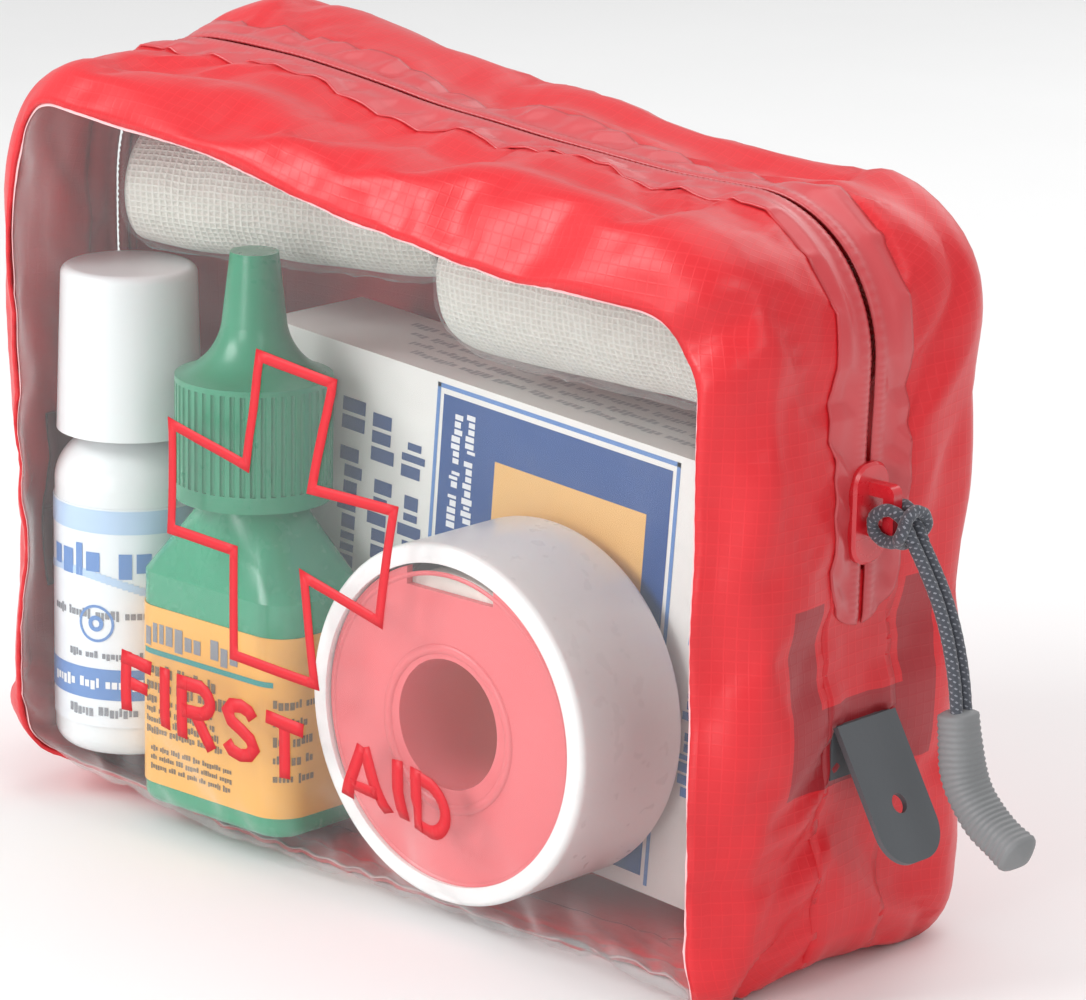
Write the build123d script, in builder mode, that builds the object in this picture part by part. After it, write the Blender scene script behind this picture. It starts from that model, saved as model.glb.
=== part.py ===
"""Clear-fronted zip pouch packed as a small first aid kit.

X is the pouch's width, -Y faces the window side, +Z is up.  All sizes are millimetres.
"""
from build123d import *
import os
from math import cos, radians, sin, tan

os.makedirs("parts", exist_ok=True)

# ---- pouch -------------------------------------------------------------------
BAG_WIDTH = 176.0
BAG_DEPTH = 66.0
BAG_HEIGHT = 130.0
TOP_CORNER = 24.0        # corner radius seen from the front, top
BASE_CORNER = 12.0       # corner radius seen from the front, bottom
EDGE_ROUND = 10.0        # rounding from the faces into the sides
FABRIC = 0.8             # coated fabric with its welded seam tape
FILM = 0.4               # clear window film
SKIN_GAP = 0.05          # between two layers that are glued or welded

# ---- window ------------------------------------------------------------------
WINDOW_SIDE = 10.0       # red margin left and right of the opening
WINDOW_TOP = 14.0        # red margin above the opening
WINDOW_WRAP = 12.0       # how far the opening runs under the bottom edge
WINDOW_CORNER = 12.0
WELD = 4.0               # film under the fabric round the opening

# ---- zip ---------------------------------------------------------------------
ZIP_BAND = 18.0          # both tapes together
ZIP_SLIT = 1.2           # gap between the tape edges
ZIP_FOOT = 62.0          # height at which the zip ends on each side
COIL_RADIUS = 1.0
STOP_HEIGHT = 4.0

# ---- slider ------------------------------------------------------------------
SLIDER_Z = 81.0          # middle of the slider where it is parked
SLIDER_LENGTH = 17.0
SLIDER_WIDTH = 9.0
SLIDER_PLATE = 1.4
SLIDER_GAP = 0.35        # running gap over the tapes
SLIDER_NECK = 0.6
BRIDGE_WIRE = 2.2
BRIDGE_REACH = 5.2       # how far the hook stands off the top plate
BRIDGE_SPAN = 9.0

# ---- pull --------------------------------------------------------------------
CORD_DIAMETER = 2.2
STRAND_PITCH = 2.4       # the two strands lie side by side
GRIP_WIDTH = 7.5
GRIP_THICK = 7.0
GRIP_SOCKET = 3.0        # cord inside the grip

# ---- hang tabs ---------------------------------------------------------------
TAB_WIDTH = 15.0
TAB_LENGTH = 25.0
TAB_THICK = 1.0
TAB_HOLE = 1.7           # hole radius
TAB_HOLE_REACH = 15.0    # fold to hole centre
TAB_Z = 46.0             # height of the fold
TAB_LEAN = 30.0          # degrees the tab hangs away from the end
TAB_BASE = 9.0           # welded part behind the tab
FOLD_GAP = 0.3

# ---- reinforcing patch inside each end ---------------------------------------
PATCH_WIDTH = 38.0
PATCH_FOOT = 36.0
PATCH_TOP = 68.0
PATCH_BAND = 14.0
PATCH_ARM = 8.0
PATCH_THICK = 0.5

# ---- tape reel ---------------------------------------------------------------
REEL_RADIUS = 31.5
REEL_WIDTH = 25.5
REEL_X = 23.0
REEL_FRONT = -29.6
REEL_FLOOR = 4.6
RING_WALL = 1.7
RING_LIP = 3.4
LIP_DEPTH = 3.0
FLANGE_THICK = 1.4
FLANGE_RECESS = 1.0
HUB_OUTER = 13.0
HUB_WALL = 1.6
WINDING_RADIUS = 26.0
REEL_CLEAR = 0.35
NOTCH_ANGLE = 42.0
NOTCH_DEPTH = 5.0

# ---- antiseptic bottle with a screw nozzle cap --------------------------------
FLASK_X = -36.0
FLASK_Y = -16.8
FLASK_Z = 4.6
FLASK_WIDTH = 38.0
FLASK_DEPTH = 23.5
FLASK_WALLS = 43.0       # straight part of the body
FLASK_SHOULDER = 14.0
FLASK_ROUND = 6.0
FLASK_SKIN = 1.2
NECK_RADIUS = 9.0
NECK_HEIGHT = 18.0
CAP_RADIUS = 14.0
CAP_SKIRT = 22.0
CAP_FLARE = 9.0
NOZZLE_BASE = 5.8
NOZZLE_TIP = 4.3
NOZZLE_HEIGHT = 13.0
CAP_CLEAR = 0.3
CAP_RIBS = 48
RIB_DEPTH = 0.5
LABEL_THICK = 0.2

# ---- pump spray bottle -------------------------------------------------------
SPRAY_X = -69.6
SPRAY_Y = -15.4
SPRAY_Z = 9.4
SPRAY_RADIUS = 13.6
SPRAY_WALLS = 50.0
SPRAY_SHOULDER = 8.0
SPRAY_NECK = 7.0
SPRAY_NECK_HEIGHT = 6.0
COLLAR_RADIUS = 9.5
COLLAR_HEIGHT = 9.0
OVERCAP_BASE = 13.2
OVERCAP_TIP = 12.3
OVERCAP_HEIGHT = 30.0
OVERCAP_WALL = 1.0
STEM_RADIUS = 2.2
STEM_CLEAR = 0.05
PUMP_TRAVEL = 3.5
BUTTON_RADIUS = 6.0
BUTTON_HEIGHT = 9.0
DIP_RADIUS = 1.5

# ---- plaster carton ----------------------------------------------------------
CARTON_LENGTH = 116.0
CARTON_DEPTH = 24.0
CARTON_HEIGHT = 79.0
CARTON_WALL = 0.6
CARTON_LEAN = 4.0        # degrees, left end up
CARTON_X = 62.0          # lower right corner
CARTON_Y = 10.6          # middle of its thickness
CARTON_Z = 3.2
STRIP_COUNT = 5
STRIP_THICK = 3.6
STRIP_GAP = 0.6
STRIP_MARGIN = 3.0

# ---- gauze rolls in clear wraps ----------------------------------------------
GAUZE_CORE = 2.0
WRAP_FILM = 0.3
WRAP_GAP = 0.1
LEFT_GAUZE = {"centre": (-44.5, 3.5, 111.6), "radius": 12.0, "length": 60.0, "yaw": 18.0}
RIGHT_GAUZE = {"centre": (38.0, 5.0, 106.0), "radius": 15.2, "length": 76.0, "yaw": 0.0}


# ---- pouch shell -------------------------------------------------------------
HALF_W = BAG_WIDTH / 2
HALF_D = BAG_DEPTH / 2
HALF_BAND = ZIP_BAND / 2


def pouch_body(inset):
    """Closed pouch shape, drawn inwards by inset on every side."""
    width = BAG_WIDTH - 2 * inset
    height = BAG_HEIGHT - 2 * inset
    depth = BAG_DEPTH - 2 * inset
    with BuildPart(mode=Mode.PRIVATE) as body:
        with BuildSketch(Plane.XZ.offset(-depth / 2)) as front:
            with Locations((0, inset + height / 2)):
                Rectangle(width, height)
            fillet(front.vertices().group_by(Axis.Y)[-1], TOP_CORNER - inset)
            fillet(front.vertices().group_by(Axis.Y)[0], BASE_CORNER - inset)
        extrude(amount=depth)
        ends = body.faces().filter_by(GeomType.PLANE).filter_by(Axis.Y)
        fillet(ends.edges(), EDGE_ROUND - inset)
    return body.part


def block(x_range, y_range, z_range):
    """Plain block between the given limits, used to divide the shell."""
    size = [high - low for low, high in (x_range, y_range, z_range)]
    middle = [(low + high) / 2 for low, high in (x_range, y_range, z_range)]
    return Pos(*middle) * Box(*size)


def window_prism(margin):
    """Block that cuts the window, grown by margin, down through the bottom edge."""
    half = HALF_W - WINDOW_SIDE + margin
    top = BAG_HEIGHT - WINDOW_TOP + margin
    with BuildPart(mode=Mode.PRIVATE) as prism:
        with BuildSketch(Plane.XZ.offset(HALF_D - WINDOW_WRAP - margin)):
            with Locations((0, top / 2 - 1)):
                outline = Rectangle(2 * half, top + 2)
            fillet(outline.vertices().group_by(Axis.Y)[-1], WINDOW_CORNER)
        extrude(amount=WINDOW_WRAP + 2 * margin + 1)
    return prism.part


outer_skin = pouch_body(0.0)
inner_skin = pouch_body(FABRIC)
shell = outer_skin - inner_skin
liner = pouch_body(FABRIC + SKIN_GAP) - pouch_body(FABRIC + SKIN_GAP + FILM)
window = window_prism(0.0)
window_weld = window_prism(WELD)

FAR = BAG_WIDTH
all_x = (-FAR, FAR)
all_z = (-1.0, BAG_HEIGHT + 1.0)
seam = HALF_BAND + SKIN_GAP
front_half = block(all_x, (-FAR, -seam), all_z)
rear_half = block(all_x, (seam, FAR), all_z)
front_strip = block(all_x, (-HALF_BAND, -ZIP_SLIT / 2), (ZIP_FOOT, FAR))
rear_strip = block(all_x, (ZIP_SLIT / 2, HALF_BAND), (ZIP_FOOT, FAR))
base_strip = block(all_x, (-HALF_BAND, HALF_BAND), (-1.0, ZIP_FOOT - SKIN_GAP))

with BuildPart() as front_panel:
    add(shell & front_half)
    add(window, mode=Mode.SUBTRACT)
front_panel.part.label = "front_panel"

with BuildPart() as rear_panel:
    add(shell & rear_half)
rear_panel.part.label = "rear_panel"

with BuildPart() as base_gusset:
    add(shell & base_strip)
base_gusset.part.label = "base_gusset"

with BuildPart() as window_film:
    add(liner & front_half & window_weld)
window_film.part.label = "window_film"

with BuildPart() as zip_tape_front:
    add(shell & front_strip)
zip_tape_front.part.label = "zip_tape_front"

with BuildPart() as zip_tape_rear:
    add(shell & rear_strip)
zip_tape_rear.part.label = "zip_tape_rear"


# ---- zip coils and stops -----------------------------------------------------
COIL_INSET = FABRIC + SKIN_GAP + COIL_RADIUS
COIL_Y = ZIP_SLIT / 2 + COIL_RADIUS
coil_half = HALF_W - COIL_INSET
coil_top = BAG_HEIGHT - COIL_INSET
coil_bend = TOP_CORNER - COIL_INSET
coil_foot = ZIP_FOOT + STOP_HEIGHT + SKIN_GAP


def zip_coil(y):
    """One closed row of coil, along the top and down both ends."""
    with BuildPart(mode=Mode.PRIVATE) as coil:
        with BuildLine(Plane.XZ.offset(-y)) as run:
            FilletPolyline(
                (-coil_half, coil_foot),
                (-coil_half, coil_top),
                (coil_half, coil_top),
                (coil_half, coil_foot),
                radius=coil_bend,
            )
        with BuildSketch(Plane(origin=(-coil_half, y, coil_foot), z_dir=(0, 0, 1))):
            Circle(COIL_RADIUS)
        sweep(path=run.wires()[0])
    return coil.part


with BuildPart() as zip_coil_front:
    add(zip_coil(-COIL_Y))
zip_coil_front.part.label = "zip_coil_front"

with BuildPart() as zip_coil_rear:
    add(zip_coil(COIL_Y))
zip_coil_rear.part.label = "zip_coil_rear"


def zip_stop(side):
    """Moulded stop that clamps the foot of both coil rows."""
    x_mid = side * coil_half
    with BuildPart() as stop:
        with BuildSketch(Plane.XY.offset(ZIP_FOOT)):
            with Locations((x_mid, 0)):
                RectangleRounded(2 * COIL_RADIUS, 4 * COIL_RADIUS + ZIP_SLIT, COIL_RADIUS * 0.4)
        extrude(amount=STOP_HEIGHT)
    return stop.part


with BuildPart() as zip_stop_right:
    add(zip_stop(1))
zip_stop_right.part.label = "zip_stop_right"

with BuildPart() as zip_stop_left:
    add(zip_stop(-1))
zip_stop_left.part.label = "zip_stop_left"


# ---- slider ------------------------------------------------------------------
plate_x = HALF_W + SLIDER_GAP
under_x = HALF_W - FABRIC - 2 * SKIN_GAP - 2 * COIL_RADIUS - SLIDER_GAP

with BuildPart() as slider_body:
    with BuildSketch(Plane.YZ.offset(plate_x)):
        with Locations((0, SLIDER_Z)):
            RectangleRounded(SLIDER_WIDTH, SLIDER_LENGTH, SLIDER_WIDTH * 0.42)
    extrude(amount=SLIDER_PLATE)
    rim = slider_body.faces().sort_by(Axis.X)[-1]
    chamfer(rim.edges(), SLIDER_PLATE * 0.35)
    with BuildSketch(Plane.YZ.offset(under_x - SLIDER_PLATE)):
        with Locations((0, SLIDER_Z)):
            RectangleRounded(SLIDER_WIDTH - 1, SLIDER_LENGTH - 5, SLIDER_WIDTH * 0.38)
    extrude(amount=SLIDER_PLATE)
    with BuildSketch(Plane.YZ.offset(under_x - SLIDER_PLATE / 2)):
        with Locations((0, SLIDER_Z + SLIDER_LENGTH / 4)):
            Rectangle(SLIDER_NECK, SLIDER_LENGTH / 4)
    extrude(amount=plate_x - under_x + SLIDER_PLATE)
slider_body.part.label = "slider_body"

bridge_x = plate_x + SLIDER_PLATE
bridge_low = SLIDER_Z - BRIDGE_SPAN / 2 + 1
bridge_high = SLIDER_Z + BRIDGE_SPAN / 2 + 1
hook_x = bridge_x + BRIDGE_REACH

with BuildPart() as slider_bridge:
    with BuildSketch(Plane.XZ.offset(-BRIDGE_WIRE / 2)):
        with BuildLine():
            Polyline(
                (bridge_x, bridge_low),
                (hook_x, bridge_low),
                (hook_x, bridge_high),
                (bridge_x, bridge_high),
                (bridge_x, bridge_high - BRIDGE_WIRE),
                (hook_x - BRIDGE_WIRE, bridge_high - BRIDGE_WIRE),
                (hook_x - BRIDGE_WIRE, bridge_low + BRIDGE_WIRE),
                (bridge_x, bridge_low + BRIDGE_WIRE),
                close=True,
            )
        make_face()
    extrude(amount=BRIDGE_WIRE)
    outer_bends = slider_bridge.edges().filter_by(Axis.Y).group_by(Axis.X)[-1]
    fillet(outer_bends, BRIDGE_WIRE * 0.7)
slider_bridge.part.label = "slider_bridge"


# ---- pull: hitch, two strands and grip ---------------------------------------
# The loop is hitched round the bridge; both strands hang to the grip.  Each strand
# is straight runs joined by tangent arcs, in a plane of constant Y.
STRAND_ROUTE = [
    (HALF_W + 11.0, 78.5),
    (HALF_W + 15.2, 72.6),
    (HALF_W + 18.6, 65.4),
    (HALF_W + 20.8, 57.4),
    (HALF_W + 21.6, 50.6),
    (HALF_W + 22.4, 45.6),
]
HITCH_SIZE = (6.4, 6.0, 7.4)
HITCH_PIVOT = 3.1        # pivot above the foot of the bridge
HITCH_CLEAR = 0.3
HITCH_BORE = 2.6         # radius kept clear round the pivot


def bend_radii(route):
    """Arc radius at each inner point: as large as the two runs beside it allow."""
    points = [Vector(x, z) for x, z in route]
    radii = []
    for before, here, after in zip(points, points[1:], points[2:]):
        run_in = here - before
        run_out = after - here
        turn = radians(run_in.get_angle(run_out))
        shorter = min(run_in.length, run_out.length)
        radii.append(0.45 * shorter / tan(turn / 2))
    return radii


strand_radii = bend_radii(STRAND_ROUTE)


def strand(y):
    """One strand of the pull cord, from the hitch into the grip."""
    start = STRAND_ROUTE[0]
    heading = Vector(STRAND_ROUTE[1][0] - start[0], 0, STRAND_ROUTE[1][1] - start[1])
    with BuildPart(mode=Mode.PRIVATE) as cord:
        with BuildLine(Plane.XZ.offset(-y)) as run:
            FilletPolyline(*STRAND_ROUTE, radius=strand_radii)
        with BuildSketch(Plane(origin=(start[0], y, start[1]), z_dir=heading)):
            Circle(CORD_DIAMETER / 2)
        sweep(path=run.wires()[0])
    return cord.part, run.wires()[0].length


front_strand, strand_length = strand(-STRAND_PITCH / 2)
rear_strand, _ = strand(STRAND_PITCH / 2)
print("strand radii", [round(radius, 1) for radius in strand_radii])
print("strand length", round(strand_length, 2), "volume / (section x length)",
      round(front_strand.volume / (3.14159265 * (CORD_DIAMETER / 2) ** 2 * strand_length), 4))

with BuildPart() as pull_cord_front:
    add(front_strand)
pull_cord_front.part.label = "pull_cord_front"

with BuildPart() as pull_cord_rear:
    add(rear_strand)
pull_cord_rear.part.label = "pull_cord_rear"

# The hitch sits on the outer bar of the bridge and turns about it, so the bar has a
# slot through the hitch that stays clear over the whole swing.
run_x = STRAND_ROUTE[0][0]
run_z = STRAND_ROUTE[0][1]
route_lean = STRAND_ROUTE[1][0] - run_x
route_drop = STRAND_ROUTE[1][1] - run_z
hitch_plane = Plane(origin=(run_x, 0, run_z), x_dir=(0, 1, 0), z_dir=(-route_lean, 0, -route_drop))
pivot_x = hook_x - BRIDGE_WIRE / 2
pivot_z = bridge_low + HITCH_PIVOT
slot_half = BRIDGE_WIRE / 2 + HITCH_CLEAR

with BuildPart() as cord_hitch:
    with BuildSketch(hitch_plane):
        RectangleRounded(HITCH_SIZE[0], HITCH_SIZE[1], HITCH_SIZE[1] * 0.4)
    extrude(amount=HITCH_SIZE[2])
    fillet(cord_hitch.faces().sort_by(Axis.Z)[-1].edges(), HITCH_SIZE[1] * 0.25)
    with BuildSketch(Plane.XZ.offset(-slot_half)):
        with Locations((pivot_x, pivot_z)):
            Circle(HITCH_BORE)
        with Locations((pivot_x, pivot_z + HITCH_SIZE[2] / 2)):
            Rectangle(4 * HITCH_SIZE[2], HITCH_SIZE[2])
        with Locations((pivot_x - HITCH_SIZE[2], pivot_z)):
            Rectangle(2 * HITCH_SIZE[2], 2 * HITCH_BORE)
    extrude(amount=2 * slot_half, mode=Mode.SUBTRACT)
cord_hitch.part.label = "cord_hitch"

grip_top_x = STRAND_ROUTE[4][0] - 0.6
grip_top_z = STRAND_ROUTE[4][1] + 1.0
GRIP_SPINE = [
    (grip_top_x, grip_top_z),
    (grip_top_x + 1.4, grip_top_z - 9.0),
    (grip_top_x + 6.2, grip_top_z - 16.5),
    (grip_top_x + 14.6, grip_top_z - 21.5),
]
half_grip = GRIP_THICK / 2

with BuildPart() as grip_blank:
    with BuildLine(Plane.XZ) as spine:
        Spline(*GRIP_SPINE, tangents=[(0.1, -1.0), (1.0, -0.35)])
    with BuildSketch(Plane(origin=(grip_top_x, 0, grip_top_z), x_dir=(0, 1, 0), z_dir=(0.1, 0, -1.0))):
        RectangleRounded(GRIP_WIDTH, GRIP_THICK, half_grip * 0.55)
    sweep(path=spine.wires()[0])
    fillet(grip_blank.faces().sort_by(Axis.X)[-1].edges(), half_grip * 0.3)

strand_sockets = front_strand + rear_strand
with BuildPart() as pull_grip:
    add(grip_blank.part)
    add(strand_sockets, mode=Mode.SUBTRACT)
pull_grip.part.label = "pull_grip"


# ---- hang tabs ---------------------------------------------------------------
def tab_flap(side):
    """Round-ended tab that hangs from its fold, with the lanyard hole."""
    lean = radians(TAB_LEAN)
    down = Vector(side * sin(lean), 0, -cos(lean))
    outward = Vector(side * cos(lean), 0, sin(lean))
    fold = Vector(side * (HALF_W + TAB_THICK + FOLD_GAP), 0, TAB_Z)
    sheet = Plane(origin=fold, x_dir=down, z_dir=outward)
    with BuildPart() as flap:
        with BuildSketch(sheet):
            with Locations((TAB_LENGTH / 2, 0)):
                outline = Rectangle(TAB_LENGTH, TAB_WIDTH)
            free_end = outline.vertices().group_by(Axis.X)[-1]
            fillet(free_end, TAB_WIDTH * 0.4)
            with Locations((TAB_HOLE_REACH, 0)):
                Circle(TAB_HOLE, mode=Mode.SUBTRACT)
        extrude(amount=TAB_THICK)
    return flap.part


def tab_root(side):
    """Welded part of the tab, flat against the end below its fold."""
    with BuildPart() as root:
        with BuildSketch(Plane.YZ.offset(side * (HALF_W + SKIN_GAP + (TAB_THICK if side < 0 else 0)))):
            with Locations((0, TAB_Z - TAB_BASE / 2)):
                Rectangle(TAB_WIDTH, TAB_BASE)
        extrude(amount=TAB_THICK)
    return root.part


def end_patch(side):
    """U-shaped patch welded inside the end, round the foot of the zip."""
    height = PATCH_TOP - PATCH_FOOT
    face = side * (HALF_W - FABRIC - SKIN_GAP)
    with BuildPart() as patch:
        with BuildSketch(Plane.YZ.offset(face if side < 0 else face - PATCH_THICK)):
            with Locations((0, PATCH_FOOT + height / 2)):
                RectangleRounded(PATCH_WIDTH, height, 2.0)
            with Locations((0, PATCH_FOOT + PATCH_BAND + height / 2)):
                Rectangle(PATCH_WIDTH - 2 * PATCH_ARM, height, mode=Mode.SUBTRACT)
        extrude(amount=PATCH_THICK)
    return patch.part


end_nodes = {}
for side, name in ((1, "right"), (-1, "left")):
    for kind, make in (("tab", tab_flap), ("tab_root", tab_root), ("end_patch", end_patch)):
        piece = make(side)
        piece.label = f"{kind}_{name}"
        end_nodes[piece.label] = piece


# ---- tape reel ---------------------------------------------------------------
reel_z = REEL_FLOOR + REEL_RADIUS
reel_front = Plane(origin=(REEL_X, REEL_FRONT, reel_z), x_dir=(1, 0, 0), z_dir=(0, 1, 0))
ring_bore = REEL_RADIUS - RING_WALL
lip_bore = REEL_RADIUS - RING_LIP
flange_radius = lip_bore - REEL_CLEAR
hub_length = REEL_WIDTH - FLANGE_RECESS - RING_WALL - REEL_CLEAR

with BuildPart(reel_front) as reel_ring:
    Cylinder(REEL_RADIUS, REEL_WIDTH, align=(Align.CENTER, Align.CENTER, Align.MIN))
    fillet(reel_ring.edges().filter_by(GeomType.CIRCLE), RING_LIP * 0.35)
    with BuildSketch(reel_front):
        Circle(lip_bore)
    extrude(amount=REEL_WIDTH - RING_WALL, mode=Mode.SUBTRACT)
    with BuildSketch(reel_front.offset(LIP_DEPTH)):
        Circle(ring_bore)
    extrude(amount=REEL_WIDTH - LIP_DEPTH - RING_WALL, mode=Mode.SUBTRACT)
    with BuildSketch(reel_front.offset(REEL_WIDTH - RING_WALL)):
        Circle(HUB_OUTER - HUB_WALL)
    extrude(amount=RING_WALL, mode=Mode.SUBTRACT)
reel_ring.part.label = "reel_ring"

with BuildPart() as reel_spool:
    with BuildSketch(reel_front.offset(FLANGE_RECESS)):
        Circle(flange_radius)
        Circle(HUB_OUTER - HUB_WALL, mode=Mode.SUBTRACT)
        with Locations((0, -flange_radius)):
            Rectangle(2 * flange_radius * sin(radians(NOTCH_ANGLE / 2)), 2 * NOTCH_DEPTH, mode=Mode.SUBTRACT)
    extrude(amount=FLANGE_THICK)
    with BuildSketch(reel_front.offset(FLANGE_RECESS)):
        Circle(HUB_OUTER)
        Circle(HUB_OUTER - HUB_WALL, mode=Mode.SUBTRACT)
    extrude(amount=hub_length)
reel_spool.part.label = "reel_spool"

winding_start = FLANGE_RECESS + FLANGE_THICK + SKIN_GAP
with BuildPart() as reel_tape:
    with BuildSketch(reel_front.offset(winding_start)):
        Circle(WINDING_RADIUS)
        Circle(HUB_OUTER + SKIN_GAP, mode=Mode.SUBTRACT)
    extrude(amount=hub_length - FLANGE_THICK - 2 * SKIN_GAP)
reel_tape.part.label = "reel_tape"


# ---- antiseptic bottle -------------------------------------------------------
def flask_shape(inset):
    """Rounded rectangular bottle with sloping shoulders and a round neck."""
    base = Plane(origin=(FLASK_X, FLASK_Y, FLASK_Z + inset))
    walls = FLASK_WALLS - inset
    corner = FLASK_ROUND - inset
    wide = FLASK_WIDTH - 2 * inset
    deep = FLASK_DEPTH - 2 * inset
    with BuildPart() as flask:
        with BuildSketch(base):
            RectangleRounded(wide, deep, corner)
        extrude(amount=walls)
        fillet(flask.faces().sort_by(Axis.Z)[0].edges(), 2.0)
        with BuildSketch(base.offset(walls)):
            RectangleRounded(wide, deep, corner)
        with BuildSketch(base.offset(walls + FLASK_SHOULDER)):
            Circle(NECK_RADIUS - inset)
        loft()
        with BuildSketch(base.offset(walls + FLASK_SHOULDER)):
            Circle(NECK_RADIUS - inset)
        extrude(amount=NECK_HEIGHT)
    return flask.part


with BuildPart() as flask_bottle:
    add(flask_shape(0.0))
    add(flask_shape(FLASK_SKIN), mode=Mode.SUBTRACT)
    with BuildSketch(Plane(origin=(FLASK_X, FLASK_Y, FLASK_Z + FLASK_WALLS + FLASK_SHOULDER))):
        Circle(NECK_RADIUS - FLASK_SKIN)
    extrude(amount=NECK_HEIGHT + 1, mode=Mode.SUBTRACT)
flask_bottle.part.label = "flask_bottle"

neck_foot = FLASK_Z + FLASK_WALLS + FLASK_SHOULDER
cap_foot = neck_foot + 1.0
cap_brow = cap_foot + CAP_SKIRT
nozzle_foot = cap_brow + CAP_FLARE
nozzle_top = nozzle_foot + NOZZLE_HEIGHT
plug_bore = 1.0

with BuildPart() as flask_plug:
    with BuildSketch(Plane(origin=(FLASK_X, FLASK_Y, neck_foot + NECK_HEIGHT - 8.0))):
        Circle(NECK_RADIUS - FLASK_SKIN)
        Circle(plug_bore, mode=Mode.SUBTRACT)
    extrude(amount=8.0)
    with BuildSketch(Plane(origin=(FLASK_X, FLASK_Y, neck_foot + NECK_HEIGHT))):
        Circle(2.6)
        Circle(plug_bore, mode=Mode.SUBTRACT)
    extrude(amount=6.0)
flask_plug.part.label = "flask_plug"

with BuildPart() as flask_cap:
    with BuildSketch(Plane.XZ.offset(-FLASK_Y)):
        with BuildLine():
            Polyline(
                (FLASK_X, cap_foot),
                (FLASK_X + CAP_RADIUS, cap_foot),
                (FLASK_X + CAP_RADIUS, cap_brow),
            )
            ThreePointArc(
                (FLASK_X + CAP_RADIUS, cap_brow),
                (FLASK_X + NOZZLE_BASE + 2.2, cap_brow + CAP_FLARE * 0.45),
                (FLASK_X + NOZZLE_BASE, nozzle_foot),
            )
            Polyline(
                (FLASK_X + NOZZLE_BASE, nozzle_foot),
                (FLASK_X + NOZZLE_TIP, nozzle_top),
                (FLASK_X, nozzle_top),
                (FLASK_X, cap_foot),
            )
        make_face()
    revolve(axis=Axis((FLASK_X, FLASK_Y, 0), (0, 0, 1)))
    with BuildSketch(Plane(origin=(FLASK_X, FLASK_Y, cap_foot + 3.0))):
        with PolarLocations(CAP_RADIUS, CAP_RIBS):
            Circle(RIB_DEPTH)
    extrude(amount=CAP_SKIRT - 4.0, mode=Mode.SUBTRACT)
    with BuildSketch(Plane(origin=(FLASK_X, FLASK_Y, cap_foot))):
        Circle(NECK_RADIUS + CAP_CLEAR)
    extrude(amount=NECK_HEIGHT, mode=Mode.SUBTRACT)
    with BuildSketch(Plane(origin=(FLASK_X, FLASK_Y, cap_foot + NECK_HEIGHT - 1))):
        Circle(2.6 + CAP_CLEAR)
    extrude(amount=8.0, mode=Mode.SUBTRACT)
flask_cap.part.label = "flask_cap"

LABEL_HEIGHT = 33.0
LABEL_FOOT = 4.0
label_plane = Plane(origin=(FLASK_X, FLASK_Y, FLASK_Z + LABEL_FOOT))
grow = SKIN_GAP + LABEL_THICK
with BuildPart() as flask_label:
    with BuildSketch(label_plane):
        RectangleRounded(FLASK_WIDTH + 2 * grow, FLASK_DEPTH + 2 * grow, FLASK_ROUND + grow)
        RectangleRounded(FLASK_WIDTH + 2 * SKIN_GAP, FLASK_DEPTH + 2 * SKIN_GAP,
                         FLASK_ROUND + SKIN_GAP, mode=Mode.SUBTRACT)
        with Locations((0, FLASK_DEPTH / 2)):
            Rectangle(FLASK_WIDTH * 0.6, FLASK_ROUND, mode=Mode.SUBTRACT)
    extrude(amount=LABEL_HEIGHT)
flask_label.part.label = "flask_label"


# ---- pump spray bottle -------------------------------------------------------
spray_plane = Plane(origin=(SPRAY_X, SPRAY_Y, SPRAY_Z))
spray_brow = SPRAY_WALLS + SPRAY_SHOULDER


def spray_shape(inset):
    """Round bottle with a domed shoulder, as a body of revolution."""
    radius = SPRAY_RADIUS - inset
    neck = SPRAY_NECK - inset
    foot = SPRAY_Z + inset
    shoulder = SPRAY_Z + SPRAY_WALLS
    brow = SPRAY_Z + spray_brow - inset
    rim = SPRAY_Z + spray_brow + SPRAY_NECK_HEIGHT
    with BuildPart() as bottle:
        with BuildSketch(Plane.XZ.offset(-SPRAY_Y)):
            with BuildLine():
                Polyline(
                    (SPRAY_X, rim),
                    (SPRAY_X, foot),
                    (SPRAY_X + radius, foot),
                    (SPRAY_X + radius, shoulder),
                )
                RadiusArc((SPRAY_X + radius, shoulder), (SPRAY_X + neck, brow), -SPRAY_SHOULDER * 1.1)
                Polyline((SPRAY_X + neck, brow), (SPRAY_X + neck, rim), (SPRAY_X, rim))
            make_face()
        revolve(axis=Axis((SPRAY_X, SPRAY_Y, 0), (0, 0, 1)))
        fillet(bottle.edges().filter_by(GeomType.CIRCLE).group_by(Axis.Z)[0], 3.5 - inset)
    return bottle.part


with BuildPart() as spray_bottle:
    add(spray_shape(0.0))
    add(spray_shape(FLASK_SKIN), mode=Mode.SUBTRACT)
spray_bottle.part.label = "spray_bottle"

collar_foot = spray_brow + 0.3
collar_top = collar_foot + COLLAR_HEIGHT
with BuildPart() as spray_collar:
    with BuildSketch(spray_plane.offset(collar_foot)):
        Circle(COLLAR_RADIUS)
        Circle(SPRAY_NECK + SKIN_GAP, mode=Mode.SUBTRACT)
    extrude(amount=SPRAY_NECK_HEIGHT)
    with BuildSketch(spray_plane.offset(collar_foot + SPRAY_NECK_HEIGHT)):
        Circle(COLLAR_RADIUS)
        Circle(STEM_RADIUS + STEM_CLEAR, mode=Mode.SUBTRACT)
    extrude(amount=COLLAR_HEIGHT - SPRAY_NECK_HEIGHT)
spray_collar.part.label = "spray_collar"

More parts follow.
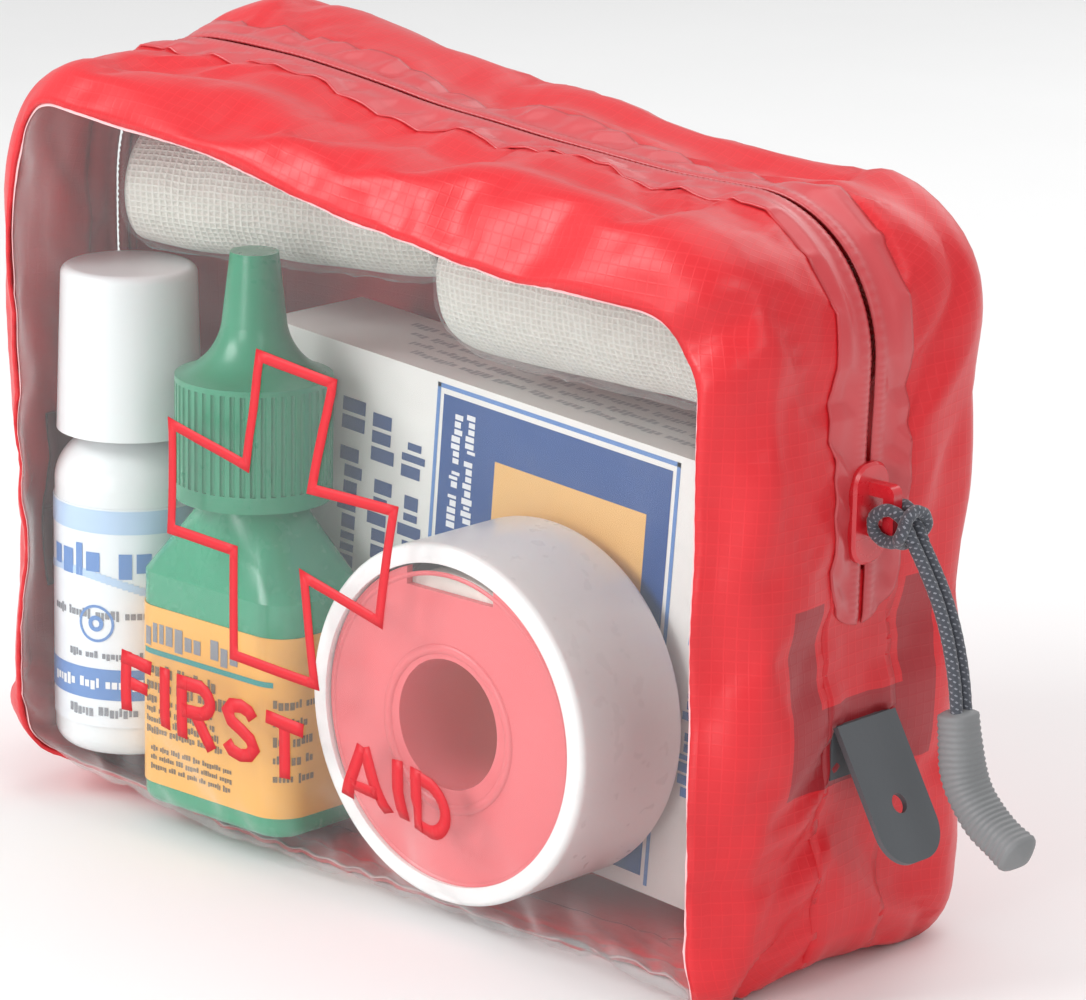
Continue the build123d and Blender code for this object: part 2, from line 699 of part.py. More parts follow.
button_foot = collar_top + PUMP_TRAVEL + 0.5
with BuildPart() as spray_button:
    with BuildSketch(spray_plane.offset(button_foot)):
        Circle(BUTTON_RADIUS)
    extrude(amount=BUTTON_HEIGHT)
    fillet(spray_button.edges().filter_by(GeomType.CIRCLE).group_by(Axis.Z)[-1], 1.0)
    with BuildSketch(spray_plane.offset(collar_foot + SPRAY_NECK_HEIGHT)):
        Circle(STEM_RADIUS)
    extrude(amount=button_foot - collar_foot - SPRAY_NECK_HEIGHT)
spray_button.part.label = "spray_button"

with BuildPart() as spray_dip_tube:
    with BuildSketch(spray_plane.offset(FLASK_SKIN + 3.0)):
        Circle(DIP_RADIUS)
        Circle(DIP_RADIUS * 0.55, mode=Mode.SUBTRACT)
    extrude(amount=spray_brow - 8.0)
spray_dip_tube.part.label = "spray_dip_tube"

overcap_foot = SPRAY_Z + spray_brow + 1.2
overcap_top = overcap_foot + OVERCAP_HEIGHT
with BuildPart() as spray_overcap:
    with BuildSketch(Plane(origin=(SPRAY_X, SPRAY_Y, overcap_foot))):
        Circle(OVERCAP_BASE)
    with BuildSketch(Plane(origin=(SPRAY_X, SPRAY_Y, overcap_top))):
        Circle(OVERCAP_TIP)
    loft()
    fillet(spray_overcap.edges().filter_by(GeomType.CIRCLE).group_by(Axis.Z)[-1], 1.6)
    with BuildSketch(Plane(origin=(SPRAY_X, SPRAY_Y, overcap_foot))):
        Circle(OVERCAP_TIP - OVERCAP_WALL)
    extrude(amount=OVERCAP_HEIGHT - OVERCAP_WALL, mode=Mode.SUBTRACT)
spray_overcap.part.label = "spray_overcap"

with BuildPart() as spray_label:
    with BuildSketch(spray_plane.offset(6.0)):
        Circle(SPRAY_RADIUS + grow)
        Circle(SPRAY_RADIUS + SKIN_GAP, mode=Mode.SUBTRACT)
    extrude(amount=SPRAY_WALLS - 9.0)
spray_label.part.label = "spray_label"


# ---- plaster carton ----------------------------------------------------------
lean = radians(CARTON_LEAN)
carton_plane = Plane(
    origin=(CARTON_X, CARTON_Y, CARTON_Z),
    x_dir=(cos(lean), 0, -sin(lean)),
    z_dir=(sin(lean), 0, cos(lean)),
)

with BuildPart() as plaster_carton:
    with BuildSketch(carton_plane):
        with Locations((-CARTON_LENGTH / 2, 0)):
            Rectangle(CARTON_LENGTH, CARTON_DEPTH)
    extrude(amount=CARTON_HEIGHT)
    with BuildSketch(carton_plane.offset(CARTON_WALL)):
        with Locations((-CARTON_LENGTH / 2, 0)):
            Rectangle(CARTON_LENGTH - 2 * CARTON_WALL, CARTON_DEPTH - 2 * CARTON_WALL)
    extrude(amount=CARTON_HEIGHT - 2 * CARTON_WALL, mode=Mode.SUBTRACT)
plaster_carton.part.label = "plaster_carton"

with BuildPart() as plaster_strips:
    with BuildSketch(carton_plane.offset(CARTON_WALL + SKIN_GAP)):
        with Locations((-CARTON_LENGTH / 2, 0)):
            with GridLocations(1.0, STRIP_THICK + STRIP_GAP, 1, STRIP_COUNT):
                Rectangle(CARTON_LENGTH - 2 * STRIP_MARGIN, STRIP_THICK)
    extrude(amount=CARTON_HEIGHT - 2 * STRIP_MARGIN)
plaster_strips.part.label = "plaster_strips"


# ---- gauze rolls -------------------------------------------------------------
def gauze_plane(roll):
    """Plane at the left end of a roll, looking along it."""
    yaw = radians(roll["yaw"])
    along = Vector(cos(yaw), sin(yaw), 0)
    return Plane(origin=Vector(*roll["centre"]) - along * (roll["length"] / 2), z_dir=along)


def gauze_roll(roll):
    """Rolled bandage with the small hole at its middle."""
    with BuildPart() as bandage:
        with BuildSketch(gauze_plane(roll)):
            Circle(roll["radius"])
            Circle(GAUZE_CORE, mode=Mode.SUBTRACT)
        extrude(amount=roll["length"])
    return bandage.part


def gauze_wrap(roll):
    """Clear sleeve of film round a bandage."""
    inner = roll["radius"] + WRAP_GAP
    with BuildPart() as wrap:
        with BuildSketch(gauze_plane(roll)):
            Circle(inner + WRAP_FILM)
            Circle(inner, mode=Mode.SUBTRACT)
        extrude(amount=roll["length"])
    return wrap.part


roll_nodes = {}
for name, roll in (("left", LEFT_GAUZE), ("right", RIGHT_GAUZE)):
    for kind, make in (("gauze_roll", gauze_roll), ("gauze_wrap", gauze_wrap)):
        piece = make(roll)
        piece.label = f"{kind}_{name}"
        roll_nodes[piece.label] = piece


# ---- export ------------------------------------------------------------------
built = [
    front_panel, rear_panel, base_gusset, window_film,
    zip_tape_front, zip_tape_rear, zip_coil_front, zip_coil_rear, zip_stop_right, zip_stop_left,
    slider_body, slider_bridge, cord_hitch, pull_cord_front, pull_cord_rear, pull_grip,
    reel_ring, reel_spool, reel_tape,
    flask_bottle, flask_plug, flask_cap, flask_label,
    spray_bottle, spray_collar, spray_button, spray_dip_tube, spray_overcap, spray_label,
    plaster_carton, plaster_strips,
]
pieces = [builder.part for builder in built]
pieces += end_nodes.values()
pieces += roll_nodes.values()
for piece in pieces:
    export_step(piece, f"parts/{piece.label}.step")
print(len(pieces), "nodes written")
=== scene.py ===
import logging
import math
import random
from dataclasses import dataclass
from enum import Enum
from typing import Any, Callable, Dict, List, Optional, Sequence, Tuple, Union

import bmesh
import bpy
from mathutils import Matrix, Vector, noise
from mathutils.bvhtree import BVHTree
from mathutils.geometry import barycentric_transform


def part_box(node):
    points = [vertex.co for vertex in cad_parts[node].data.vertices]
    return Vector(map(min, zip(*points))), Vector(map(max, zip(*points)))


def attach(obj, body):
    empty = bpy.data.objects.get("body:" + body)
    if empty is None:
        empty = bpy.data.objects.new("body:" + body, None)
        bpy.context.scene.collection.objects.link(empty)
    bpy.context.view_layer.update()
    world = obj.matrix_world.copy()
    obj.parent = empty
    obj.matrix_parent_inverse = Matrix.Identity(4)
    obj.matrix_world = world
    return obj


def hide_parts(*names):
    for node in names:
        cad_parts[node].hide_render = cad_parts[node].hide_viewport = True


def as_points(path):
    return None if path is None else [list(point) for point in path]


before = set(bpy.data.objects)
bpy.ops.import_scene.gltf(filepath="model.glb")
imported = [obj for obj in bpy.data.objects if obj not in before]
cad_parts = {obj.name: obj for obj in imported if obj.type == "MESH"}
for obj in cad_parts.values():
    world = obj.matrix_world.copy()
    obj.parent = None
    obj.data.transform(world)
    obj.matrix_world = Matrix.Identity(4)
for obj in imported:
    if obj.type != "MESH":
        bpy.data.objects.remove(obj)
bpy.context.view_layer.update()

MM = 0.001
LOG = logging.getLogger("first_aid_pouch")
Colour = Tuple[float, float, float]
Point = Tuple[float, float, float]
Rect = Tuple[float, float, float, float]
PATCH_BAND = 14 * MM
PATCH_ARM = 8 * MM
ZIP_PITCH = 1.15 * MM


class Face(Enum):
    """The two long faces of the pouch, by the sign of their depth."""

    FRONT = -1
    REAR = 1


class End(Enum):
    """The two short ends of the pouch, by the sign of their place across."""

    RIGHT = 1
    LEFT = -1


class Rim(Enum):
    """The two runs round the pouch, from end to end."""

    TOP = 1
    BASE = -1


# Shader graph
class Signal:
    """A shader value that Python's operators combine into Math nodes."""

    def __init__(self, graph: "Graph", socket: bpy.types.NodeSocket) -> None:
        """Wrap one output socket of the graph."""
        self.graph = graph
        self.socket = socket

    def math(self, operation: str, *others: Any) -> "Signal":
        """Feed this value and others to a Math node.

        Args:
            operation: The Math node's operation.
            others: Further inputs, signals or numbers.

        Returns:
            The node's result.
        """
        return self.graph.math(operation, self, *others)

    def __add__(self, other: Any) -> "Signal":
        """Sum."""
        return self.math("ADD", other)

    def __radd__(self, other: Any) -> "Signal":
        """Reflected sum."""
        return self.math("ADD", other)

    def __sub__(self, other: Any) -> "Signal":
        """Difference."""
        return self.math("SUBTRACT", other)

    def __rsub__(self, other: Any) -> "Signal":
        """Reflected difference."""
        return self.graph.math("SUBTRACT", other, self)

    def __mul__(self, other: Any) -> "Signal":
        """Product."""
        return self.math("MULTIPLY", other)

    def __rmul__(self, other: Any) -> "Signal":
        """Reflected product."""
        return self.math("MULTIPLY", other)

    def __truediv__(self, other: Any) -> "Signal":
        """Quotient."""
        return self.math("DIVIDE", other)

    def __gt__(self, other: Any) -> "Signal":
        """One where this is greater."""
        return self.math("GREATER_THAN", other)

    def __lt__(self, other: Any) -> "Signal":
        """One where this is less."""
        return self.math("LESS_THAN", other)

    def __abs__(self) -> "Signal":
        """Magnitude."""
        return self.math("ABSOLUTE")

    def fract(self) -> "Signal":
        """Part after the decimal point."""
        return self.math("FRACT")

    def clamp(self) -> "Signal":
        """Value held between nought and one."""
        return self.math("MINIMUM", 1.0).math("MAXIMUM", 0.0)


class Graph:
    """One material's node tree."""

    def __init__(self, name: str) -> None:
        """Start an empty material.

        Args:
            name: Its name.
        """
        self.material = bpy.data.materials.new(name)
        self.material.use_nodes = True
        self.tree = self.material.node_tree
        self.tree.nodes.clear()

    def node(self, kind: str, settings: Optional[Dict[str, Any]] = None,
             inputs: Optional[Dict[Union[int, str], Any]] = None) -> bpy.types.Node:
        """Add a node.

        Args:
            kind: Node type identifier.
            settings: Node properties, set first.
            inputs: Socket values, or signals and sockets to link, by name or index.

        Returns:
            The new node.
        """
        made = self.tree.nodes.new(kind)
        for key, value in (settings or {}).items():
            setattr(made, key, value)
        for key, value in (inputs or {}).items():
            self._feed(made.inputs[key], value)
        return made

    def _feed(self, socket: bpy.types.NodeSocket, value: Any) -> None:
        """Link a signal or socket, or set a plain value.

        Args:
            socket: The input to feed.
            value: A signal, a socket, or a value for the socket itself.
        """
        if isinstance(value, Signal):
            self.tree.links.new(value.socket, socket)
        elif isinstance(value, bpy.types.NodeSocket):
            self.tree.links.new(value, socket)
        elif socket.type == "RGBA" and len(value) == 3:
            socket.default_value = (*value, 1.0)
        else:
            socket.default_value = value

    def math(self, operation: str, *values: Any) -> Signal:
        """Feed values to a Math node of the given operation."""
        made = self.node("ShaderNodeMath", {"operation": operation}, dict(enumerate(values)))
        return Signal(self, made.outputs[0])

    def mix(self, factor: Any, first: Any, second: Any) -> bpy.types.NodeSocket:
        """Colour mix: first at factor 0, second at factor 1."""
        made = self.node("ShaderNodeMix", {"data_type": "RGBA"}, {0: factor, 6: first, 7: second})
        return made.outputs[2]

    def place(self) -> bpy.types.NodeSocket:
        """Object coordinates, in metres."""
        return self.node("ShaderNodeTexCoord").outputs["Object"]

    def axes(self, vector: bpy.types.NodeSocket) -> Tuple[Signal, Signal, Signal]:
        """The three parts of a vector as signals."""
        split = self.node("ShaderNodeSeparateXYZ", None, {0: vector})
        return tuple(Signal(self, output) for output in split.outputs)

    def weave(self) -> Tuple[Signal, Signal]:
        """Read the piece's cloth coordinates.

        Returns:
            Places across and along the piece, in metres.
        """
        uv = self.node("ShaderNodeUVMap", {"uv_map": "weave"})
        across, along, _ = self.axes(uv.outputs[0])
        return across, along

    def noise(self, scale: float, detail: float = 3.0) -> Signal:
        """Add noise over the object's coordinates.

        Args:
            scale: Cells in a metre.
            detail: Octaves.

        Returns:
            The noise, from nought to one.
        """
        made = self.node("ShaderNodeTexNoise", None, {
            "Vector": self.place(), "Scale": scale, "Detail": detail, "Roughness": 0.5})
        return Signal(self, made.outputs[0])

    def bump(self, height: Signal, strength: float, distance: float,
             under: Optional[bpy.types.NodeSocket] = None) -> bpy.types.NodeSocket:
        """Turn a height into a bumped normal.

        Args:
            height: The relief.
            strength: Share of the relief that shows.
            distance: Height of one unit of relief, in metres.
            under: Normal that it is laid over.

        Returns:
            The normal.
        """
        inputs: Dict[Union[int, str], Any] = {
            "Height": height, "Strength": strength, "Distance": distance}
        if under is not None:
            inputs["Normal"] = under
        return self.node("ShaderNodeBump", None, inputs).outputs[0]

    def principled(self, **sockets: Any) -> bpy.types.NodeSocket:
        """Principled shader; underscores in the names stand for spaces."""
        named = {key.replace("_", " "): value for key, value in sockets.items()}
        return self.node("ShaderNodeBsdfPrincipled", None, named).outputs[0]

    def finish(self, shader: bpy.types.NodeSocket) -> bpy.types.Material:
        """Wire the shader to the output and hand over the material."""
        self.node("ShaderNodeOutputMaterial", None, {0: shader})
        return self.material


# Finishes
@dataclass(frozen=True)
class Ripstop:
    """Coated ripstop fabric: a fine grid of thicker threads under a satin coating."""

    name: str
    colour: Colour
    deep: Colour
    cell: float = 1.9 * MM
    patch_x: float = 0.078
    roughness: float = 0.42

    def material(self) -> bpy.types.Material:
        """Build the fabric, with painted shade where an end patch behind it blocks the light that shines
        through.

        Returns:
            The material.
        """
        graph = Graph(self.name)
        across, along = graph.weave()
        lines = self._thread(across).math("MAXIMUM", self._thread(along))
        x, y, z = graph.axes(graph.place())
        patch = self._patch_shade(abs(x), abs(y), z)
        cloud = graph.noise(38.0, 4.0)
        wear = graph.noise(260.0, 2.0)
        shade = graph.mix((cloud - 0.3) * 0.9, self.deep, self.colour)
        lit = graph.mix(lines * 0.16, shade, tuple(min(1.0, part * 1.25 + 0.02) for part in self.colour))
        # Painted shade: darker where an end patch behind the fabric blocks the light that shines through it.
        base = graph.mix(patch * 0.62, lit, (0.16, 0.008, 0.014))
        rough = self.roughness + (wear - 0.5) * 0.18 + lines * 0.06
        fine = graph.bump(wear, 0.10, 0.15 * MM)
        normal = graph.bump(lines + cloud * 0.6, 0.22, 0.10 * MM, fine)
        return graph.finish(graph.principled(
            Base_Color=base, Roughness=rough, Normal=normal, Specular_IOR_Level=0.5,
            Coat_Weight=0.14, Coat_Roughness=0.28, Sheen_Weight=0.05))

    def _thread(self, run: Signal) -> Signal:
        """Raised thread once in every cell."""
        spot = abs((run / self.cell).fract() - 0.5) * 2.0
        return ((spot - 0.80) * 5.0).clamp()

    def _patch_shade(self, side: Signal, across: Signal, height: Signal) -> Signal:
        """Mask the painted shade of the U-shaped patches inside both ends, seen through the fabric.

        Args:
            side: Distance from the pouch's middle towards an end.
            across: Distance from the middle towards a face.
            height: Height over the base.

        Returns:
            One over a patch, nought elsewhere.
        """
        low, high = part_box("end_patch_right")
        inside = (side > self.patch_x) * (across < high[1]) * (height > low[2]) * (height < high[2])
        notch = (across < high[1] - PATCH_ARM) * (height > low[2] + PATCH_BAND)
        return inside * (1 - notch)


@dataclass(frozen=True)
class ZipLaminate:
    """Smooth laminated zip tape with the coil embossed through it."""

    name: str
    colour: Colour
    pitch: float = ZIP_PITCH
    coil_place: float = 1.9 * MM
    coil_reach: float = 1.7 * MM

    def material(self) -> bpy.types.Material:
        """Build the laminate with its coil ribs beside the slit, and a painted sheen on the ribs.

        Returns:
            The material.
        """
        graph = Graph(self.name)
        across, along = graph.weave()
        side = abs(across)
        ribs = ((along / self.pitch).fract() - 0.5).math("ABSOLUTE") * 2.0
        belt = (1 - abs(side - self.coil_place) / self.coil_reach).clamp()
        mesh = graph.noise(900.0, 1.0)
        height = ribs * belt + mesh * 0.25
        cloud = graph.noise(60.0, 3.0)
        # Pale pink colour: partly random pale tone from the cloud, partly a painted sheen on the raised coil
        # ribs.
        pale = tuple(part * 0.55 + 0.30 * lift for part, lift in zip(self.colour, (1.0, 0.62, 0.62)))
        base = graph.mix((cloud * 0.35 + belt * 0.18 * ribs).clamp(), self.colour, pale)
        rough = 0.30 + cloud * 0.16
        normal = graph.bump(height, 0.38, 0.22 * MM)
        return graph.finish(graph.principled(
            Base_Color=base, Roughness=rough, Normal=normal, Coat_Weight=0.3, Coat_Roughness=0.18))


@dataclass(frozen=True)
class ClearFilm:
    """Clear film: see-through face on, brighter at a glancing angle, gently rippled."""

    name: str
    haze: float = 0.026
    edge: float = 0.42
    ripple: float = 40.0
    crinkle: float = 0.0
    tint: Colour = (0.93, 0.95, 0.95)

    def material(self) -> bpy.types.Material:
        """Build the film from a transparent and a glossy shader.

        Returns:
            The material.
        """
        graph = Graph(self.name)
        broad = graph.noise(self.ripple, 2.0)
        fine = graph.noise(self.ripple * 7.0, 2.0)
        normal = graph.bump(broad + fine * self.crinkle, 0.3, 1.0 * MM)
        glance = Signal(graph, graph.node("ShaderNodeLayerWeight", None, {
            "Blend": 0.5, "Normal": normal}).outputs["Facing"])
        facing = glance.math("POWER", 4.0)
        gloss = graph.principled(
            Base_Color=self.tint, Roughness=0.10 + fine * 0.06, Normal=normal,
            Specular_IOR_Level=0.8, Coat_Weight=0.6, Coat_Roughness=0.03)
        clear = graph.node("ShaderNodeBsdfTransparent", None, {0: (0.985, 0.99, 0.99)}).outputs[0]
        factor = (self.haze + broad * 0.02 + facing * self.edge).clamp()
        mixed = graph.node("ShaderNodeMixShader", None, {0: factor, 1: clear, 2: gloss})
        return graph.finish(mixed.outputs[0])


@dataclass(frozen=True)
class Moulded:
    """Moulded plastic or rubber with a faint flow texture."""

    name: str
    colour: Colour
    roughness: float = 0.35
    grain: float = 320.0
    depth: float = 0.06
    glow: float = 0.0
    coat: float = 0.1
    shade: float = 0.82

    def material(self) -> bpy.types.Material:
        """Build the plastic; glow lets light soak into pale parts.

        Returns:
            The material.
        """
        graph = Graph(self.name)
        cloud = graph.noise(45.0, 4.0)
        speck = graph.noise(self.grain, 3.0)
        deep = tuple(part * self.shade for part in self.colour)
        base = graph.mix((cloud * 1.3 - 0.1).clamp(), deep, self.colour)
        rough = self.roughness + (speck - 0.5) * 0.16 + (cloud - 0.5) * 0.08
        normal = graph.bump(speck, 0.35, self.depth * MM)
        return graph.finish(graph.principled(
            Base_Color=base, Roughness=rough, Normal=normal, Coat_Weight=self.coat,
            Coat_Roughness=0.2, Subsurface_Weight=self.glow, Subsurface_Radius=(0.004, 0.003, 0.003),
            Subsurface_Scale=1.0))


@dataclass(frozen=True)
class Printed:
    """Ink or paper: a flat print with slight mottling."""

    name: str
    colour: Colour
    roughness: float = 0.45

    def material(self) -> bpy.types.Material:
        """Build the print.

        Returns:
            The material.
        """
        graph = Graph(self.name)
        mottle = graph.noise(420.0, 3.0)
        deep = tuple(part * 0.93 for part in self.colour)
        base = graph.mix(mottle, deep, self.colour)
        rough = self.roughness + (mottle - 0.5) * 0.14
        normal = graph.bump(mottle, 0.2, 0.04 * MM)
        return graph.finish(graph.principled(Base_Color=base, Roughness=rough, Normal=normal))


@dataclass(frozen=True)
class Gauze:
    """Open cotton weave: two sets of slubby threads, with painted shade in the gaps between them."""

    name: str
    colour: Colour
    gap: Colour
    pitch: float = 1.25 * MM

    def material(self) -> bpy.types.Material:
        """Build the weave from wavering threads both ways.

        Returns:
            The material.
        """
        graph = Graph(self.name)
        across, along = graph.weave()
        waver = (graph.noise(120.0, 3.0) - 0.5) * 1.5 * MM
        first = self._thread(across + waver)
        second = self._thread(along + waver * 0.8)
        threads = first.math("MAXIMUM", second)
        slub = graph.noise(500.0, 3.0)
        # Painted shade: the gaps between the threads take the darker gap colour.
        base = graph.mix((threads * 0.75 + slub * 0.35).clamp(), self.gap, self.colour)
        normal = graph.bump(threads + slub * 0.4, 0.7, 0.35 * MM)
        return graph.finish(graph.principled(
            Base_Color=base, Roughness=0.85 + slub * 0.1, Normal=normal, Sheen_Weight=0.2,
            Subsurface_Weight=0.12, Subsurface_Radius=(0.003, 0.003, 0.003), Subsurface_Scale=1.0))

    def _thread(self, run: Signal) -> Signal:
        """Rounded thread in every pitch."""
        return (1 - abs((run / self.pitch).fract() - 0.5) * 3.2).clamp()


@dataclass(frozen=True)
class Braid:
    """Braided cord sheath: dark yarn with lighter flecks."""

    name: str
    dark: Colour
    fleck: Colour
    turns_around: float = 620.0
    turns_along: float = 900.0

    def material(self) -> bpy.types.Material:
        """Build the yarn colours; the braid's relief is in the mesh.

        Returns:
            The material.
        """
        graph = Graph(self.name)
        around, along = graph.weave()
        slant = (around * self.turns_around + along * self.turns_along).fract()
        cross = (along * self.turns_along - around * self.turns_around).fract()
        yarn = graph.noise(1500.0, 2.0)
        pick = (slant > 0.72) * (cross > 0.5)
        base = graph.mix((pick * 0.75 + (yarn - 0.5) * 0.5).clamp(), self.dark, self.fleck)
        normal = graph.bump(yarn + slant * 0.4, 0.5, 0.10 * MM)
        return graph.finish(graph.principled(
            Base_Color=base, Roughness=0.72 + yarn * 0.2, Normal=normal, Sheen_Weight=0.3))


RED = (0.76, 0.008, 0.018)
RED_DEEP = (0.60, 0.005, 0.012)


class Finishes:
    def __init__(self) -> None:
        """Build all the materials."""
        self.ripstop = Ripstop("ripstop_red", RED, RED_DEEP).material()
        self.laminate = ZipLaminate("zip_laminate", (0.56, 0.02, 0.03)).material()
        self.film = ClearFilm("window_film").material()
        self.crackle = ClearFilm("wrap_film", haze=0.02, edge=0.5, ripple=110.0, crinkle=0.7).material()
        self.weld_line = Printed("film_weld", (0.90, 0.55, 0.56), 0.25).material()
        self.ink = Printed("red_ink", (0.66, 0.006, 0.018), 0.5).material()
        self.coil = Moulded("coil_red", (0.35, 0.01, 0.015), 0.4).material()
        self.slider = Moulded("slider_lacquer", (0.70, 0.018, 0.03), 0.26, coat=0.6).material()
        self.cord = Braid("cord_braid", (0.055, 0.06, 0.075), (0.30, 0.31, 0.35)).material()
        self.rubber = Moulded("grip_rubber", (0.22, 0.225, 0.23), 0.55, 700.0, 0.10, coat=0.0).material()
        self.tab = Moulded("tab_laminate", (0.095, 0.105, 0.115), 0.42, 900.0, 0.08).material()
        self.patch = Ripstop("patch_fabric", (0.12, 0.01, 0.015), (0.08, 0.006, 0.01)).material()
        self.ring = Moulded("ring_white", (0.90, 0.88, 0.87), 0.30, glow=0.35, shade=0.95).material()
        self.spool = Moulded("spool_red", (0.80, 0.135, 0.15), 0.38, glow=0.15, shade=0.92).material()
        # The second colour of a Gauze is the painted shade in the gaps between its threads.
        self.tape = Gauze("tape_cloth", (0.86, 0.82, 0.76), (0.72, 0.68, 0.62), 0.6 * MM).material()
        self.green = Moulded("flask_green", (0.02, 0.33, 0.17), 0.26, glow=0.12, coat=0.3).material()
        self.cap_green = Moulded("cap_green", (0.008, 0.27, 0.13), 0.30, coat=0.25).material()
        self.white = Moulded("bottle_white", (0.86, 0.87, 0.88), 0.33, glow=0.2, shade=0.95).material()
        self.amber = Printed("amber_label", (0.88, 0.44, 0.08), 0.35).material()
        self.pale = Printed("pale_label", (0.84, 0.88, 0.92), 0.35).material()
        self.board = Printed("carton_board", (0.87, 0.86, 0.83), 0.42).material()
        self.plaster = Gauze("plaster_cloth", (0.72, 0.50, 0.34), (0.55, 0.36, 0.24), 0.8 * MM).material()
        self.gauze = Gauze("gauze_cotton", (0.90, 0.87, 0.80), (0.62, 0.58, 0.51)).material()
        self.navy = Printed("ink_navy", (0.045, 0.09, 0.24), 0.4).material()
        self.panel_blue = Printed("ink_panel_blue", (0.015, 0.075, 0.28), 0.35).material()
        self.mid_blue = Printed("ink_mid_blue", (0.12, 0.26, 0.58), 0.38).material()
        self.light_blue = Printed("ink_light_blue", (0.48, 0.64, 0.86), 0.38).material()
        self.tan = Printed("ink_tan", (0.86, 0.50, 0.17), 0.4).material()
        self.grey_ink = Printed("ink_grey", (0.24, 0.25, 0.28), 0.42).material()
        self.pale_ink = Printed("ink_pale_grey", (0.55, 0.55, 0.56), 0.42).material()
        self.brown_ink = Printed("ink_brown", (0.20, 0.13, 0.06), 0.42).material()
        self.teal_ink = Printed("ink_teal", (0.02, 0.30, 0.28), 0.4).material()
        self.white_ink = Printed("ink_white", (0.85, 0.87, 0.90), 0.4).material()


# Mesh helpers
def add_object(name: str, data: Any) -> bpy.types.Object:
    """Put an object into the scene.

    Args:
        name: Its name.
        data: Its mesh, curve, light or camera.

    Returns:
        The object.
    """
    holder = bpy.data.objects.new(name, data)
    bpy.context.scene.collection.objects.link(holder)
    return holder


def distances(points: Sequence[Vector]) -> List[float]:
    """Measure the way along a line.

    Args:
        points: The line's points.

    Returns:
        Distance of each point from the first.
    """
    run = [0.0]
    for here, there in zip(points, points[1:]):
        run.append(run[-1] + (there - here).length)
    return run


def make_piece(name: str, points: Sequence[Vector], faces: Sequence[Sequence[int]],
               material: bpy.types.Material, body: str = "pouch",
               weave: Optional[Sequence[Tuple[float, float]]] = None) -> bpy.types.Object:
    """Make a mesh object that rides on a body.

    Args:
        name: Piece name.
        points: Vertex positions in metres.
        faces: Vertex indices of each face.
        material: Its finish.
        body: The body it rides on.
        weave: Cloth coordinates of each vertex.

    Returns:
        The new object.
    """
    mesh = bpy.data.meshes.new(name)
    mesh.from_pydata([tuple(point) for point in points], [], [tuple(face) for face in faces])
    if weave is not None:
        layer = mesh.uv_layers.new(name="weave")
        for loop in mesh.loops:
            layer.data[loop.index].uv = weave[loop.vertex_index]
    mesh.polygons.foreach_set("use_smooth", [True] * len(mesh.polygons))
    mesh.materials.append(material)
    mesh.validate()
    mesh.update()
    piece = add_object(name, mesh)
    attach(piece, body)
    return piece


def tube(path: Sequence[Vector], radius: Callable[[float, float], float],
         sides: int) -> Tuple[List[Vector], List[List[int]], List[Tuple[float, float]]]:
    """Sweep a ring of points along a path and close both ends.

    Args:
        path: Centre points.
        radius: Gives the radius from (distance along, angle round).
        sides: Points round the ring.

    Returns:
        Points, faces, and cloth coordinates of each point.
    """
    points: List[Vector] = []
    weave: List[Tuple[float, float]] = []
    faces: List[List[int]] = []
    last = len(path) - 1
    normal = Vector((0, 1, 0))
    run = 0.0
    for index, centre in enumerate(path):
        tangent = (path[min(index + 1, last)] - path[max(index - 1, 0)]).normalized()
        normal = (normal - tangent * normal.dot(tangent)).normalized()
        side = tangent.cross(normal)
        if index:
            run += (centre - path[index - 1]).length
        for step in range(sides):
            angle = 2 * math.pi * step / sides
            reach = radius(run, angle)
            points.append(centre + (normal * math.cos(angle) + side * math.sin(angle)) * reach)
            weave.append((angle * reach, run))
    for index in range(last):
        here, there = index * sides, (index + 1) * sides
        for step in range(sides):
            after = (step + 1) % sides
            faces.append([here + step, here + after, there + after, there + step])
    faces.append(list(range(sides))[::-1])
    faces.append([last * sides + step for step in range(sides)])
    return points, faces, weave


def spline_points(name: str, route: Sequence[Point], resolution: int = 12) -> List[Vector]:
    """Points along a smooth NURBS line through a cord's route.

    Args:
        name: Name of the temporary curve.
        route: Control points.
        resolution: Points per control point.

    Returns:
        Evenly dense points on the line.
    """
    curve = bpy.data.curves.new(name, "CURVE")
    curve.dimensions = "3D"
    curve.resolution_u = resolution
    line = curve.splines.new("NURBS")
    line.points.add(len(route) - 1)
    for point, place in zip(line.points, route):
        point.co = (*place, 1.0)
    line.order_u = 3
    line.use_endpoint_u = True
    holder = add_object(name, curve)
    bpy.context.view_layer.update()
    mesh = bpy.data.meshes.new_from_object(holder)
    found = [vertex.co.copy() for vertex in mesh.vertices]
    bpy.data.objects.remove(holder)
    return found


